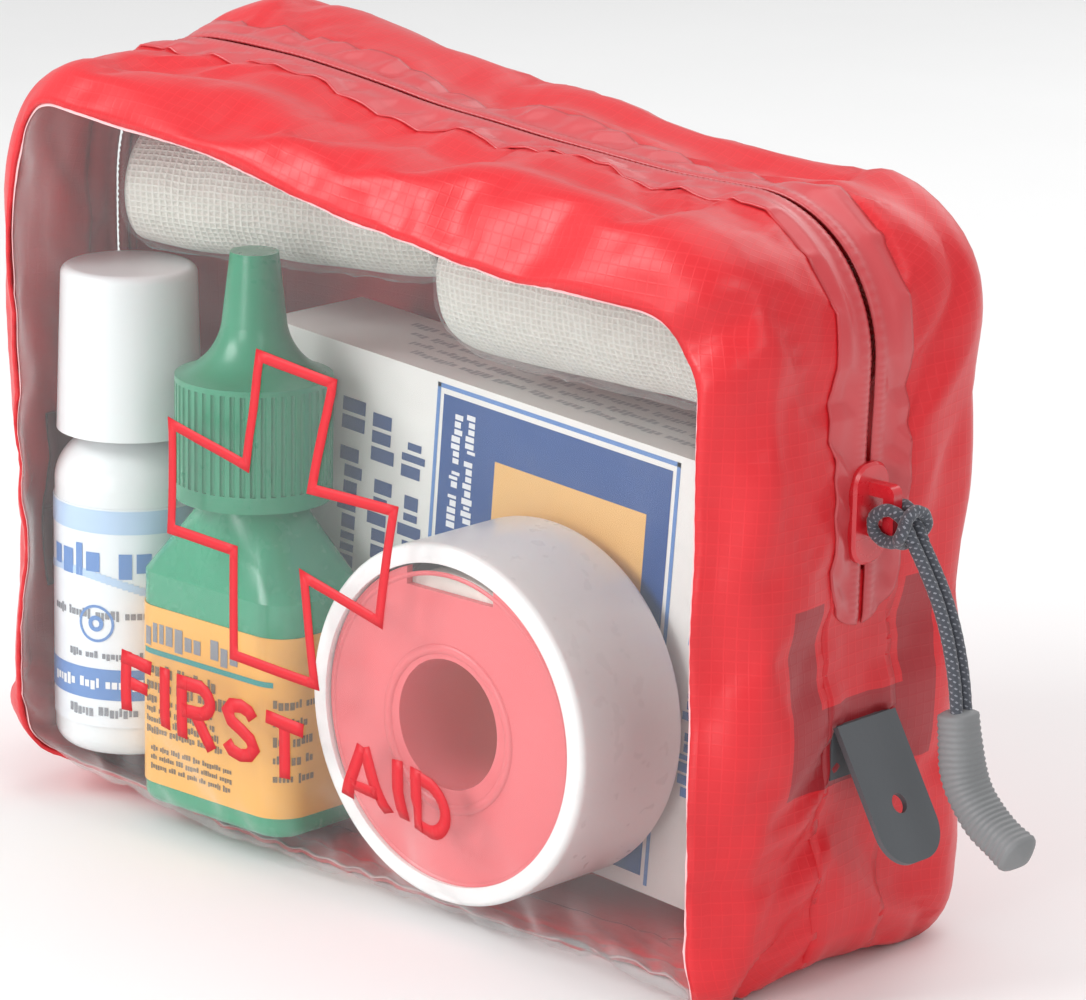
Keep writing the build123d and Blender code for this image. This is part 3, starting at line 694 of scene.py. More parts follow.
# Studio
@dataclass
class Studio:
    """Pale floor, soft lights and the camera."""

    azimuth: float = 42.2
    elevation: float = 15.3
    distance: float = 0.855
    focal: float = 4975.0
    image_width: float = 1086.0
    sensor: float = 36.0
    target: Point = (0.0178, 0.0, 0.0690)
    roll: float = 1.1
    surround: float = 0.62
    floor_reach: float = 6.0
    light_aim: Point = (0.0, 0.0, 0.06)
    boxes: Tuple[Tuple[str, Point, float, float], ...] = (
        ("key_box", (-0.50, -0.80, 0.70), 0.50, 6.5),
        ("front_box", (0.05, -1.10, 0.30), 0.45, 3.2),
        ("side_box", (0.90, -0.30, 0.55), 0.40, 1.5),
        ("top_box", (0.05, 0.15, 0.95), 0.70, 2.4),
        ("rear_box", (-0.1, 0.9, 0.6), 0.70, 2.0))

    def camera(self) -> None:
        """Put the camera at the object's front right, a little above it."""
        azimuth, elevation = math.radians(self.azimuth), math.radians(self.elevation)
        ray = Vector((math.sin(azimuth) * math.cos(elevation),
                      -math.cos(azimuth) * math.cos(elevation), math.sin(elevation)))
        data = bpy.data.cameras.new("camera")
        data.sensor_width = self.sensor
        data.lens = self.focal / self.image_width * data.sensor_width
        data.clip_start = 0.01
        holder = add_object("camera", data)
        aim = (-ray).to_track_quat("-Z", "Y")
        tilt = Matrix.Rotation(math.radians(self.roll), 4, "Z")
        holder.matrix_world = (Matrix.Translation(Vector(self.target) + ray * self.distance)
                               @ aim.to_matrix().to_4x4() @ tilt)
        bpy.context.scene.camera = holder

    def lights(self) -> None:
        """Large soft boxes and a bright, even surround."""
        world = bpy.data.worlds.new("surround")
        bpy.context.scene.world = world
        world.use_nodes = True
        shade = world.node_tree.nodes["Background"]
        shade.inputs["Color"].default_value = (1.0, 1.0, 1.0, 1.0)
        shade.inputs["Strength"].default_value = self.surround
        bpy.context.scene.view_settings.view_transform = "Standard"
        for name, place, size, power in self.boxes:
            light = bpy.data.lights.new(name, "AREA")
            light.shape = "SQUARE"
            light.size = size
            light.energy = power
            holder = add_object(name, light)
            holder.location = place
            aim = Vector(self.light_aim) - Vector(place)
            holder.rotation_euler = aim.to_track_quat("-Z", "Y").to_euler()

    def floor(self) -> None:
        """Pale plain floor."""
        graph = Graph("floor_paper")
        grain = graph.noise(12.0, 2.0)
        base = graph.mix(grain, (0.86, 0.86, 0.86), (0.89, 0.89, 0.89))
        paper = graph.finish(graph.principled(Base_Color=base, Roughness=0.8))
        mesh = bpy.data.meshes.new("floor")
        reach = self.floor_reach
        mesh.from_pydata([(-reach, -reach, 0), (reach, -reach, 0), (reach, reach, 0), (-reach, reach, 0)],
                         [], [(0, 1, 2, 3)])
        mesh.materials.append(paper)
        add_object("floor", mesh)


# Pouch form
@dataclass(frozen=True)
class Corner:
    """One corner of a rounded outline in the flattened plane."""

    x: float
    z: float
    radius: float


@dataclass(frozen=True)
class RoundedQuad:
    """Four-cornered outline with rounded corners, run counter-clockwise from lower right."""

    corners: Tuple[Corner, Corner, Corner, Corner]

    def side(self, index: int, steps: int, reach: float = 0.0) -> List[Tuple[Vector, Vector]]:
        """Sample one side, from the middle of a corner to the middle of the next.

        Args:
            index: 0 right, 1 top, 2 left, 3 bottom.
            steps: Number of equal steps.
            reach: Spacing is even on the outline grown by this much.

        Returns:
            Points on the outline with their outward directions.
        """
        start_centre, start_radius, start_turn = self._arc(index)
        end_centre, end_radius, end_turn = self._arc((index + 1) % 4)
        half_start = (start_turn[1] - start_turn[0]) / 2
        half_end = (end_turn[1] - end_turn[0]) / 2
        level = start_turn[1]
        first = start_centre + self._aim(level) * start_radius
        last = end_centre + self._aim(level) * end_radius
        lengths = ((start_radius + reach) * half_start, (last - first).length,
                   (end_radius + reach) * half_end)
        whole = sum(lengths)
        samples = []
        for step in range(steps + 1):
            run = whole * step / steps
            if run < lengths[0]:
                angle = level - half_start + run / (start_radius + reach)
                samples.append((start_centre + self._aim(angle) * start_radius, self._aim(angle)))
            elif run <= lengths[0] + lengths[1]:
                share = (run - lengths[0]) / max(lengths[1], 1e-9)
                samples.append((first.lerp(last, share), self._aim(level)))
            else:
                angle = level + (run - lengths[0] - lengths[1]) / (end_radius + reach)
                samples.append((end_centre + self._aim(angle) * end_radius, self._aim(angle)))
        return samples

    def loop(self, steps: Sequence[int], reach: float = 0.0) -> List[Tuple[Vector, Vector]]:
        """Join all four sides into one closed run.

        Args:
            steps: Steps along the right, top, left and bottom.
            reach: Spacing is even on the outline grown by this much.

        Returns:
            Points on the outline with their outward directions.
        """
        run: List[Tuple[Vector, Vector]] = []
        for index, count in enumerate(steps):
            run += self.side(index, count, reach)[:-1]
        return run

    @staticmethod
    def _aim(angle: float) -> Vector:
        """Unit direction at an angle."""
        return Vector((math.cos(angle), math.sin(angle)))

    def _arc(self, index: int) -> Tuple[Vector, float, Tuple[float, float]]:
        """Find the arc of one corner.

        Args:
            index: 0 lower right, 1 upper right, 2 upper left, 3 lower left.

        Returns:
            Its centre, radius, and first and last angle.
        """
        here = self.corners[index]
        before, after = self.corners[index - 1], self.corners[(index + 1) % 4]
        place = Vector((here.x, here.z))
        arriving = (place - Vector((before.x, before.z))).normalized()
        leaving = (Vector((after.x, after.z)) - place).normalized()
        normals = [Vector((way.y, -way.x)) for way in (arriving, leaving)]
        centre = place - (normals[0] + normals[1]) * (here.radius / (1 + normals[0].dot(normals[1])))
        begin = math.atan2(normals[0].y, normals[0].x)
        end = math.atan2(normals[1].y, normals[1].x)
        base = (index - 1) * math.pi / 2
        begin += 2 * math.pi * round((base - begin) / (2 * math.pi))
        end += 2 * math.pi * round((base + math.pi / 2 - end) / (2 * math.pi))
        return centre, here.radius, (begin, end)


@dataclass
class Form:
    """The pouch's nominal shape: flat faces, rounded edges and a band round the ends."""

    edge: float = 10 * MM
    top_corner: float = 24 * MM
    base_corner: float = 12 * MM
    band: float = 9 * MM

    def __post_init__(self) -> None:
        """Take the width, depth and height from the rigid model."""
        high = Vector(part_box("rear_panel")[1])
        self.half_width, self.half_depth, self.height = high
        self.turn = self.edge * math.pi / 2
        self.reach = self.turn + self.half_depth - self.edge - self.band
        inset = self.half_width - self.edge
        self.outline = RoundedQuad((
            Corner(inset, self.edge, self.base_corner - self.edge),
            Corner(inset, self.height - self.edge, self.top_corner - self.edge),
            Corner(-inset, self.height - self.edge, self.top_corner - self.edge),
            Corner(-inset, self.edge, self.base_corner - self.edge)))

    def fold(self, x: float, z: float, face: Face = Face.FRONT,
             lift: float = 0.0) -> Tuple[Vector, Vector]:
        """Fold a point of the flattened panel onto the shape.

        Args:
            x: Place across the flattened panel.
            z: Place up the flattened panel.
            face: The face that the panel covers.
            lift: Distance outside the surface.

        Returns:
            The point and the surface's outward direction.
        """
        inset = self.half_width - self.edge
        upper = z > self.height / 2
        radius = (self.top_corner if upper else self.base_corner) - self.edge
        limit = self.height - self.edge - radius if upper else self.edge + radius
        core_x = max(-(inset - radius), min(inset - radius, x))
        core_z = min(z, limit) if upper else max(z, limit)
        away = Vector((x - core_x, z - core_z))
        beyond = away.length - radius
        if beyond <= 0:
            point, normal = Vector((x, -self.half_depth, z)), Vector((0, -1, 0))
        else:
            out = away.normalized()
            foot = Vector((core_x, core_z)) + out * radius
            turn = min(beyond / self.edge, math.pi / 2)
            flat = foot + out * self.edge * math.sin(turn)
            depth = -self.half_depth + self.edge * (1 - math.cos(turn)) + max(0.0, beyond - self.turn)
            point = Vector((flat.x, depth, flat.y))
            normal = Vector((out.x * math.sin(turn), -math.cos(turn), out.y * math.sin(turn)))
        point += normal * lift
        if face is Face.REAR:
            point.y, normal.y = -point.y, -normal.y
        return point, normal

    def around(self, sample: Tuple[Vector, Vector], y: float, lift: float = 0.0) -> Vector:
        """Point of the band between the two faces, at depth y."""
        flat = sample[0] + sample[1] * (self.edge + lift)
        return Vector((flat.x, y, flat.y))


def patch_grid(sides: Sequence[Sequence[Vector]]) -> List[List[Vector]]:
    """Fill a four-sided outline with an even grid.

    Args:
        sides: Right, top, left and bottom points, counter-clockwise, corners repeated.

    Returns:
        Rows from bottom to top, each from left to right.
    """
    right, top, left, bottom = sides[0], sides[1][::-1], sides[2][::-1], sides[3]
    rows, columns = len(right) - 1, len(bottom) - 1
    grid = []
    for row in range(rows + 1):
        up = row / rows
        line = []
        for column in range(columns + 1):
            over = column / columns
            blend = (left[row] * (1 - over) + right[row] * over + bottom[column] * (1 - up) + top[column] * up
                     - bottom[0] * (1 - over) * (1 - up) - bottom[-1] * over * (1 - up)
                     - top[0] * (1 - over) * up - top[-1] * over * up)
            line.append(blend)
        grid.append(line)
    return grid


def grid_faces(rows: int, columns: int, closed: bool = False, flip: bool = False) -> List[List[int]]:
    """Quad indices of a grid stored row by row.

    Args:
        rows: Number of point rows.
        columns: Number of points in each row.
        closed: Whether each row joins its own start.
        flip: Whether to reverse the faces.

    Returns:
        The faces.
    """
    faces = []
    for row in range(rows - 1):
        for column in range(columns if closed else columns - 1):
            after = (column + 1) % columns
            face = [row * columns + column, row * columns + after,
                    (row + 1) * columns + after, (row + 1) * columns + column]
            faces.append(face[::-1] if flip else face)
    return faces


@dataclass(frozen=True)
class Crease:
    """A dent or ridge pressed into the skin."""

    place: Point
    along: Point
    length: float
    width: float
    depth: float

    def push(self, point: Vector) -> float:
        """Press the skin in near the crease.

        Args:
            point: A rest place.

        Returns:
            Its depth there, inwards.
        """
        gap = point - Vector(self.place)
        way = Vector(self.along).normalized()
        run = gap.dot(way)
        off = (gap - way * run).length
        return self.depth * math.exp(-(run / self.length) ** 2 - (off / self.width) ** 2)


@dataclass
class Skin:
    """The pouch's soft shape: a simulated shell that carries every piece laid on it."""

    form: Form
    spacing: float = 3.4 * MM
    pressure: float = 3.2
    frames: int = 18
    cap: float = 3.2 * MM
    side_cap: float = 1.2 * MM
    quick_crown: float = 1.6 * MM
    zip_hold: float = 5.5 * MM
    creases: Tuple[Crease, ...] = (
        Crease((0.080, -0.031, 0.113), (0.55, 0.5, 0.45), 0.010, 0.0040, 0.0040),
        Crease((0.086, -0.026, 0.104), (0.15, 0.35, -1.0), 0.014, 0.0035, 0.0022),
        Crease((0.082, -0.031, 0.060), (0.0, 0.1, 1.0), 0.030, 0.0030, 0.0012),
        Crease((0.086, -0.022, 0.024), (0.1, 1.0, 0.25), 0.014, 0.0038, 0.0036),
        Crease((0.080, -0.030, 0.012), (1.0, 0.5, 0.3), 0.012, 0.0040, 0.0030),
        Crease((0.087, 0.012, 0.020), (0.0, 1.0, -0.5), 0.016, 0.0045, 0.0030),
        Crease((0.060, -0.016, 0.129), (1.0, 0.1, -0.1), 0.034, 0.0035, 0.0014),
        Crease((0.020, -0.017, 0.130), (1.0, -0.05, 0.0), 0.045, 0.0030, 0.0013),
        Crease((-0.045, -0.018, 0.130), (1.0, 0.12, 0.0), 0.030, 0.0040, 0.0018),
        Crease((-0.020, -0.032, 0.123), (1.0, 0.2, 0.35), 0.020, 0.0030, -0.0012),
        Crease((0.030, 0.018, 0.130), (1.0, 0.06, 0.0), 0.055, 0.0045, 0.0030),
        Crease((0.079, 0.012, 0.122), (0.7, 0.4, -0.6), 0.016, 0.0050, -0.0022),
        Crease((-0.078, -0.030, 0.115), (0.4, 0.5, 1.0), 0.012, 0.0040, 0.0026),
        Crease((-0.086, -0.022, 0.070), (0.0, 0.3, 1.0), 0.022, 0.0040, 0.0020),
        Crease((-0.084, -0.024, 0.020), (0.3, 1.0, 0.3), 0.014, 0.0040, 0.0030),
        Crease((0.088, 0.022, 0.090), (0.0, 0.35, 1.0), 0.024, 0.0050, 0.0022),
        Crease((-0.040, 0.033, 0.060), (1.0, 0.0, 0.6), 0.040, 0.0090, 0.0022),
        Crease((0.050, 0.033, 0.080), (1.0, 0.0, -0.4), 0.036, 0.0080, 0.0020),
        Crease((0.010, 0.033, 0.030), (1.0, 0.0, 0.15), 0.050, 0.0070, 0.0016),
    )

    def __post_init__(self) -> None:
        """Make the shell, fill it out, and keep how far each point moved."""
        points, faces = self._shell()
        moved = self._fill_out(points, faces)
        self.rest = points
        self.shift = [self._settle(before, after) for before, after in zip(points, moved)]
        self.triangles = [part for a, b, c, d in faces for part in ((a, b, c), (a, c, d))]
        self.tree = BVHTree.FromPolygons(points, self.triangles)

    def _shell(self) -> Tuple[List[Vector], List[List[int]]]:
        """Make a closed quad shell of the nominal shape.

        Returns:
            Its points and faces.
        """
        form = self.form
        tall = round((form.height - 2 * form.edge + 2 * form.reach) / self.spacing)
        wide = round((2 * (form.half_width - form.edge) + 2 * form.reach) / self.spacing)
        counts = (tall, wide, tall, wide)
        sides = [[spot + out * form.reach for spot, out in form.outline.side(index, count, form.reach)]
                 for index, count in enumerate(counts)]
        grid = patch_grid(sides)
        points: List[Vector] = []
        faces: List[List[int]] = []
        known: Dict[Tuple[int, int, int], int] = {}

        def index_of(point: Vector) -> int:
            """Number a point, shared where pieces meet.

            Args:
                point: Its place.

            Returns:
                Its index in the shell.
            """
            key = tuple(round(part * 1e5) for part in point)
            if key not in known:
                known[key] = len(points)
                points.append(point)
            return known[key]

        for face in Face:
            numbers = [[index_of(form.fold(spot.x, spot.y, face)[0]) for spot in row] for row in grid]
            for row in range(tall):
                for column in range(wide):
                    quad = [numbers[row][column], numbers[row][column + 1],
                            numbers[row + 1][column + 1], numbers[row + 1][column]]
                    faces.append(quad[::-1] if face is Face.REAR else quad)
        loop = form.outline.loop(counts, form.reach)
        levels = [form.band * (step / 3 - 1) for step in range(7)]
        for low, high in zip(levels, levels[1:]):
            for here, there in zip(loop, loop[1:] + loop[:1]):
                faces.append([index_of(form.around(here, low)), index_of(form.around(there, low)),
                              index_of(form.around(there, high)), index_of(form.around(here, high))][::-1])
        return points, faces

    def _fill_out(self, points: List[Vector], faces: List[List[int]]) -> List[Vector]:
        """Let the shell settle as pressed-out cloth, held along the zip.

        Args:
            points: Rest positions.
            faces: Quads of the shell.

        Returns:
            Where each point ends.
        """
        mesh = bpy.data.meshes.new("shell")
        mesh.from_pydata(points, [], faces)
        holder = add_object("shell", mesh)
        pins = holder.vertex_groups.new(name="pins")
        for number, point in enumerate(points):
            middle = abs(point.y) < self.form.band * 0.5
            floor = point.z < 1 * MM
            if middle or floor:
                pins.add([number], 1.0 if middle else 0.6, "REPLACE")
        cloth = holder.modifiers.new("cloth", "CLOTH")
        settings = cloth.settings
        settings.quality = 6
        settings.mass = 0.12
        settings.tension_stiffness = 18
        settings.compression_stiffness = 12
        settings.shear_stiffness = 6
        settings.bending_stiffness = 0.35
        settings.shrink_min = -0.035
        settings.vertex_group_mass = "pins"
        settings.pin_stiffness = 1.0
        settings.use_pressure = True
        settings.uniform_pressure_force = self.pressure
        settings.effector_weights.gravity = 0
        cloth.point_cache.frame_start = 1
        cloth.point_cache.frame_end = self.frames
        for step in range(1, self.frames + 1):
            bpy.context.scene.frame_set(step)
        settled = holder.evaluated_get(bpy.context.evaluated_depsgraph_get())
        found = [vertex.co.copy() for vertex in settled.data.vertices]
        bpy.data.objects.remove(holder)
        bpy.context.scene.frame_set(1)
        return found

    def _settle(self, before: Vector, after: Vector) -> Vector:
        """Combine the capped cloth movement, gentle waves, creases and rise.

        Args:
            before: Rest place of a point.
            after: Where the cloth leaves it.

        Returns:
            How far it moves.
        """
        move = after - before
        outward = self._outward(before)
        along = outward.dot(move)
        side = move - outward * along
        push = max(-self.cap, min(self.cap, along))
        side = side * min(1.0, self.side_cap / max(side.length, 1e-9))
        zip_hold = self._near_zip(before)
        wave = noise.noise(before * 22.0) * 1.7 * MM
        wave += noise.noise(before * 55.0 + Vector((3, 1, 7))) * 0.75 * MM
        crown = 0.0
        if abs(before.y) > self.form.half_depth - 1 * MM:
            middle = max(0.0, 1 - (before.x / 0.09) ** 2) * max(0.0, 1 - ((before.z - 0.062) / 0.07) ** 2)
            push += crown * middle
            wave *= 0.55
        push += wave * (1 - 0.6 * zip_hold)
        push -= sum(crease.push(before) for crease in self.creases) * (1 - zip_hold)
        if before.z < 2 * MM:
            push = min(push, 0.0)
        return outward * push + side * (1 - zip_hold) + Vector((0, 0, self._rise(before)))

    @staticmethod
    def _rise(point: Vector) -> float:
        """Height gained where the contents push the top left up, and the base left is rounded.

        Args:
            point: A rest place.

        Returns:
            How far it rises.
        """
        def ease(value: float) -> float:
            """Smooth step between nought and one."""
            held = max(0.0, min(1.0, value))
            return held * held * (3 - 2 * held)

        top = ease((point.z - 0.086) / 0.040)
        left = 6.5 * MM * ease((0.045 - point.x) / 0.095)
        hump = 4.5 * MM * math.exp(-((point.x + 0.060) / 0.026) ** 2 - ((point.y - 0.019) / 0.017) ** 2)
        rear = 1.5 * MM * ease(point.y / 0.02) * ease((0.03 - point.x) / 0.04)
        front = ease((-0.010 - point.y) / 0.014)
        base = ease((0.034 - point.z) / 0.030)
        under = 4.6 * MM * ease((-0.030 - point.x) / 0.045) + 5.0 * MM * ease((-0.066 - point.x) / 0.018)
        return top * (left + hump + rear) + base * front * under

    def _near_zip(self, point: Vector) -> float:
        """Hold the skin still near the zip.

        Args:
            point: A rest place.

        Returns:
            One on the zip's line, falling to nought beside it.
        """
        if point.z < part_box("zip_tape_front")[0][2]:
            return 0.0
        return math.exp(-(point.y / self.zip_hold) ** 2)

    def _outward(self, point: Vector) -> Vector:
        """Find the outward direction at a rest point.

        Args:
            point: A rest place.

        Returns:
            The unit direction away from the box inside the rounded edges.
        """
        form = self.form
        inner_x, inner_y = form.half_width - form.top_corner, form.half_depth - form.edge
        core = Vector((max(-inner_x, min(inner_x, point.x)), max(-inner_y, min(inner_y, point.y)),
                       max(form.base_corner, min(form.height - form.top_corner, point.z))))
        gap = point - core
        return gap.normalized() if gap.length > 1e-6 else Vector((0, -1, 0))

    def carry(self, point: Vector) -> Vector:
        """Move a point of the nominal shape with the soft one.

        Args:
            point: A place on or near the nominal shape.

        Returns:
            The place on or near the soft one.
        """
        spot, _, number, _ = self.tree.find_nearest(point)
        a, b, c = self.triangles[number]
        shift = barycentric_transform(spot, self.rest[a], self.rest[b], self.rest[c],
                                      self.shift[a], self.shift[b], self.shift[c])
        return point + shift


# Pouch pieces
HEART = Vector((0, 0, 0.062))


def facing_out(points: Sequence[Vector], faces: List[List[int]]) -> List[List[int]]:
    """Turn a sheet's faces so that most of them look away from the pouch's middle.

    Args:
        points: The sheet's points.
        faces: Its faces.

    Returns:
        The faces, all kept or all reversed.
    """
    total = 0.0
    for face in faces:
        a, b, c = (points[number] for number in face[:3])
        total += (b - a).cross(c - a).dot(a - HEART)
    return faces if total > 0 else [face[::-1] for face in faces]


def thicken(piece: bpy.types.Object, thickness: float) -> None:
    """Give a sheet its thickness, inwards.

    Args:
        piece: The sheet.
        thickness: How thick it is, in metres.
    """
    layer = piece.modifiers.new("thickness", "SOLIDIFY")
    layer.thickness = thickness
    layer.offset = -1.0
    layer.use_even_offset = False


@dataclass
class Shell:
    """Fabric, film and zip tapes: everything the pouch is sewn and welded from."""

    skin: Skin
    finishes: Finishes
    fabric: float = 0.6 * MM
    film: float = 0.25 * MM
    overlap: float = 1.2 * MM
    weld: float = 3.2 * MM
    grain: float = 2.0 * MM
    frame_rows: int = 20
    outline_reach: float = 10 * MM
    film_depth: float = -0.66 * MM
    coil_place: float = 1.0 * MM
    coil_radius: float = 0.92 * MM
    coil_wave: float = 0.12 * MM
    window: RoundedQuad = RoundedQuad((
        Corner(0.0815, -0.0078, 0.016), Corner(0.0790, 0.1148, 0.0125),
        Corner(-0.0815, 0.1225, 0.013), Corner(-0.0760, -0.0078, 0.016)))

    def counts(self) -> Tuple[int, int, int, int]:
        """Count the steps round the panels.

        Returns:
            Steps along the right, top, left and bottom.
        """
        form = self.skin.form
        tall = round((form.height + form.reach) / self.grain)
        wide = round((2 * form.half_width + form.reach) / self.grain)
        return tall, wide, tall, wide

    def lay(self, name: str, flat: Sequence[Vector], faces: List[List[int]],
            material: bpy.types.Material, lift: float = 0.0, face: Face = Face.FRONT,
            thickness: float = 0.0,
            ripple: Optional[Callable[[Vector], float]] = None) -> bpy.types.Object:
        """Lay a flat-cut piece onto the soft shape.

        Args:
            name: Piece name.
            flat: Points in the flattened plane.
            faces: Faces over those points.
            material: Its finish.
            lift: Distance outside the skin's surface.
            face: The face it lies on.
            thickness: Thickness added inwards.
            ripple: Extra outward distance at a flat point.

        Returns:
            The new piece.
        """
        points = []
        for spot in flat:
            height = lift + (ripple(spot) if ripple else 0.0)
            place, _ = self.skin.form.fold(spot.x, spot.y, face, height)
            points.append(self.skin.carry(place))
        piece = make_piece(name, points, facing_out(points, faces), material,
                           weave=[(spot.x, spot.y) for spot in flat])
        if thickness:
            thicken(piece, thickness)
        return piece

    def panels(self) -> None:
        """Front frame round the window, and the plain rear panel."""
        form = self.skin.form
        edge = form.reach + self.overlap
        rows = self.frame_rows
        inner = [spot for spot, _ in self.window.loop(self.counts(), self.outline_reach)]
        outer = [spot + out * edge for spot, out in form.outline.loop(self.counts(), edge)]
        flat = [near.lerp(far, row / rows) for row in range(rows + 1) for near, far in zip(inner, outer)]
        front = self.lay("front_fabric", flat, grid_faces(rows + 1, len(inner), closed=True),
                         self.finishes.ripstop, thickness=self.fabric, ripple=self._weld_bead(inner))
        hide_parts("front_panel")
        sides = [[spot + out * edge for spot, out in form.outline.side(index, count, edge)]
                 for index, count in enumerate(self.counts())]
        grid = patch_grid(sides)
        flat = [spot for row in grid for spot in row]
        rear = self.lay("rear_fabric", flat, grid_faces(len(grid), len(grid[0])),
                        self.finishes.ripstop, face=Face.REAR, thickness=self.fabric)
        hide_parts("rear_panel")

    @staticmethod
    def _weld_bead(loop: Sequence[Vector]) -> Callable[[Vector], float]:
        """Raise a slight lip where the fabric is welded down to the film.

        Args:
            loop: The window's outline in the flattened plane.

        Returns:
            A function that gives the lip's height at a flat point.
        """
        def height(spot: Vector) -> float:
            """Raise the lip and press the groove behind it.

            Args:
                spot: A flat point.

            Returns:
                The height over the skin.
            """
            gap = min((spot - other).length for other in loop[::2])
            return 0.28 * MM * math.exp(-(gap / (2.0 * MM)) ** 2) - 0.22 * MM * math.exp(
                -((gap - 4.6 * MM) / (0.9 * MM)) ** 2)
        return height

    def rim_run(self, foot: float, rim: Rim, step: float) -> List[Tuple[Vector, Vector]]:
        """Follow the pouch's outline from one end to the other.

        Args:
            foot: Height where the run starts and ends.
            rim: Over the top or under the base.
            step: Spacing.

        Returns:
            Inset points with outward directions.
        """
        form = self.skin.form
        around = form.outline.loop((200, 280, 200, 280), form.edge)
        spots = [(spot + out * form.edge, out) for spot, out in around]
        keep = [item for item in spots if (item[0].y >= foot) == (rim is Rim.TOP)]
        centre = Vector((0.0, form.height * 0.5))
        order = sorted(keep, key=lambda item: math.atan2(
            (item[0] - centre).x, (item[0] - centre).y * rim.value))
        run, target, found = 0.0, 0.0, []
        ends = (Vector((-form.half_width, foot)), Vector((form.half_width, foot)))
        order = [(ends[0], Vector((-1, 0)))] + order + [(ends[1], Vector((1, 0)))]
        whole = distances([spot for spot, _ in order])[-1]
        count = round(whole / step)
        gap = whole / count
        for (here, out), (there, out_next) in zip(order, order[1:]):
            length = (there - here).length
            while length and target <= run + length + 1e-9 and len(found) <= count:
                share = (target - run) / length
                way = out.lerp(out_next, share).normalized()
                found.append((here.lerp(there, share) - way * form.edge, way))
                target += gap
            run += length
        return found

    def strip(self, name: str, run: Sequence[Tuple[Vector, Vector]],
              edges: Callable[[float, float], Tuple[float, float]], columns: int,
              lift: Callable[[float, int], float], material: bpy.types.Material,
              thickness: float) -> bpy.types.Object:
        """Lay a strip round the pouch's rim.

        Args:
            name: Piece name.
            run: Inset points with outward directions.
            edges: Depths of both edges from (distance along, whole length).
            columns: Cells across.
            lift: Height over the skin from (depth, row).
            material: Its finish.
            thickness: Thickness added inwards.

        Returns:
            The new piece.
        """
        points, weave = [], []
        lengths = distances([spot for spot, _ in run])
        whole = lengths[-1]
        for row, sample in enumerate(run):
            low, high = edges(lengths[row], whole)
            for column in range(columns + 1):
                depth = low + (high - low) * column / columns
                spot = self.skin.form.around(sample, depth)
                raised = self.skin.form.around(sample, depth, lift(depth, row))
                points.append(self.skin.carry(spot) + raised - spot)
                weave.append((depth, lengths[row]))
        faces = facing_out(points, grid_faces(len(run), columns + 1))
        piece = make_piece(name, points, faces, material, weave=weave)
        thicken(piece, thickness)
        return piece

    def rim(self) -> None:
        """Base gusset, and both zip tapes with the coil showing through."""
        form = self.skin.form
        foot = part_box("zip_tape_front")[0][2]
        slit = -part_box("zip_tape_front")[1][1]
        base = self.strip("base_fabric", self.rim_run(foot + form.band, Rim.BASE, self.grain),
                          lambda run, whole: (-form.band, form.band), 12,
                          lambda depth, row: 0.12 * MM, self.finishes.ripstop, self.fabric)
        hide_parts("base_gusset")
        run = self.rim_run(foot, Rim.TOP, ZIP_PITCH / 2)
        for face in Face:
            name, side = face.name.lower(), face.value

            def edges(along: float, whole: float, side: int = side) -> Tuple[float, float]:
                """Round a tape off towards its feet.

                Args:
                    along: Distance along the tape.
                    whole: The tape's length.
                    side: Sign of the face's depth.

                Returns:
                    Depths of both edges.
                """
                near = min(along, whole - along)
                share = min(1.0, near / form.band)
                half = form.band * math.sqrt(max(0.0, 1 - (1 - share) ** 2))
                half = max(half, slit + 0.25 * MM)
                return (-half, -slit) if side < 0 else (slit, half)

            def lift(depth: float, row: int) -> float:
                """Raise a tape over the coil, ribbed by its teeth, thin at the edge.

                Args:
                    depth: Distance from the slit's middle, signed.
                    row: Number of the row along the tape.

                Returns:
                    Height over the skin.
                """
                away = abs(depth)
                ridge = math.exp(-((away - 2.0 * MM) / (1.5 * MM)) ** 2)
                rib = (0.09 if row % 2 else -0.09) * MM * ridge
                flange = 0.10 * MM * math.exp(-((away - 6.9 * MM) / (0.8 * MM)) ** 2)
                return 0.42 * MM + 0.55 * MM * ridge + rib + flange

            tape = self.strip(f"zip_tape_{name}_laminate", run, edges, 14, lift,
                              self.finishes.laminate, 0.45 * MM)
            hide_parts(f"zip_tape_{name}")

    def coils(self) -> None:
        """Wound coils under the tapes, seen through the slit."""
        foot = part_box("zip_coil_front")[0][2]
        form = self.skin.form
        inset = form.half_width - (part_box("zip_coil_front")[1][0] - self.coil_place)
        run = self.rim_run(foot, Rim.TOP, 0.42 * MM)
        for face in Face:
            name, middle = face.name.lower(), face.value * self.coil_place
            path = [self.skin.carry(form.around(sample, middle))
                    + form.around(sample, middle, -inset) - form.around(sample, middle)
                    for sample in run]
            points, faces, weave = tube(path, self._winding, 10)
            coil = make_piece(f"coil_{name}", points, faces, self.finishes.coil, weave=weave)
            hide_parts(f"zip_coil_{name}")

    def _winding(self, along: float, angle: float) -> float:
        """Radius of a coil, waved once in every pitch."""
        return self.coil_radius + self.coil_wave * math.sin(along / ZIP_PITCH * 2 * math.pi + angle)

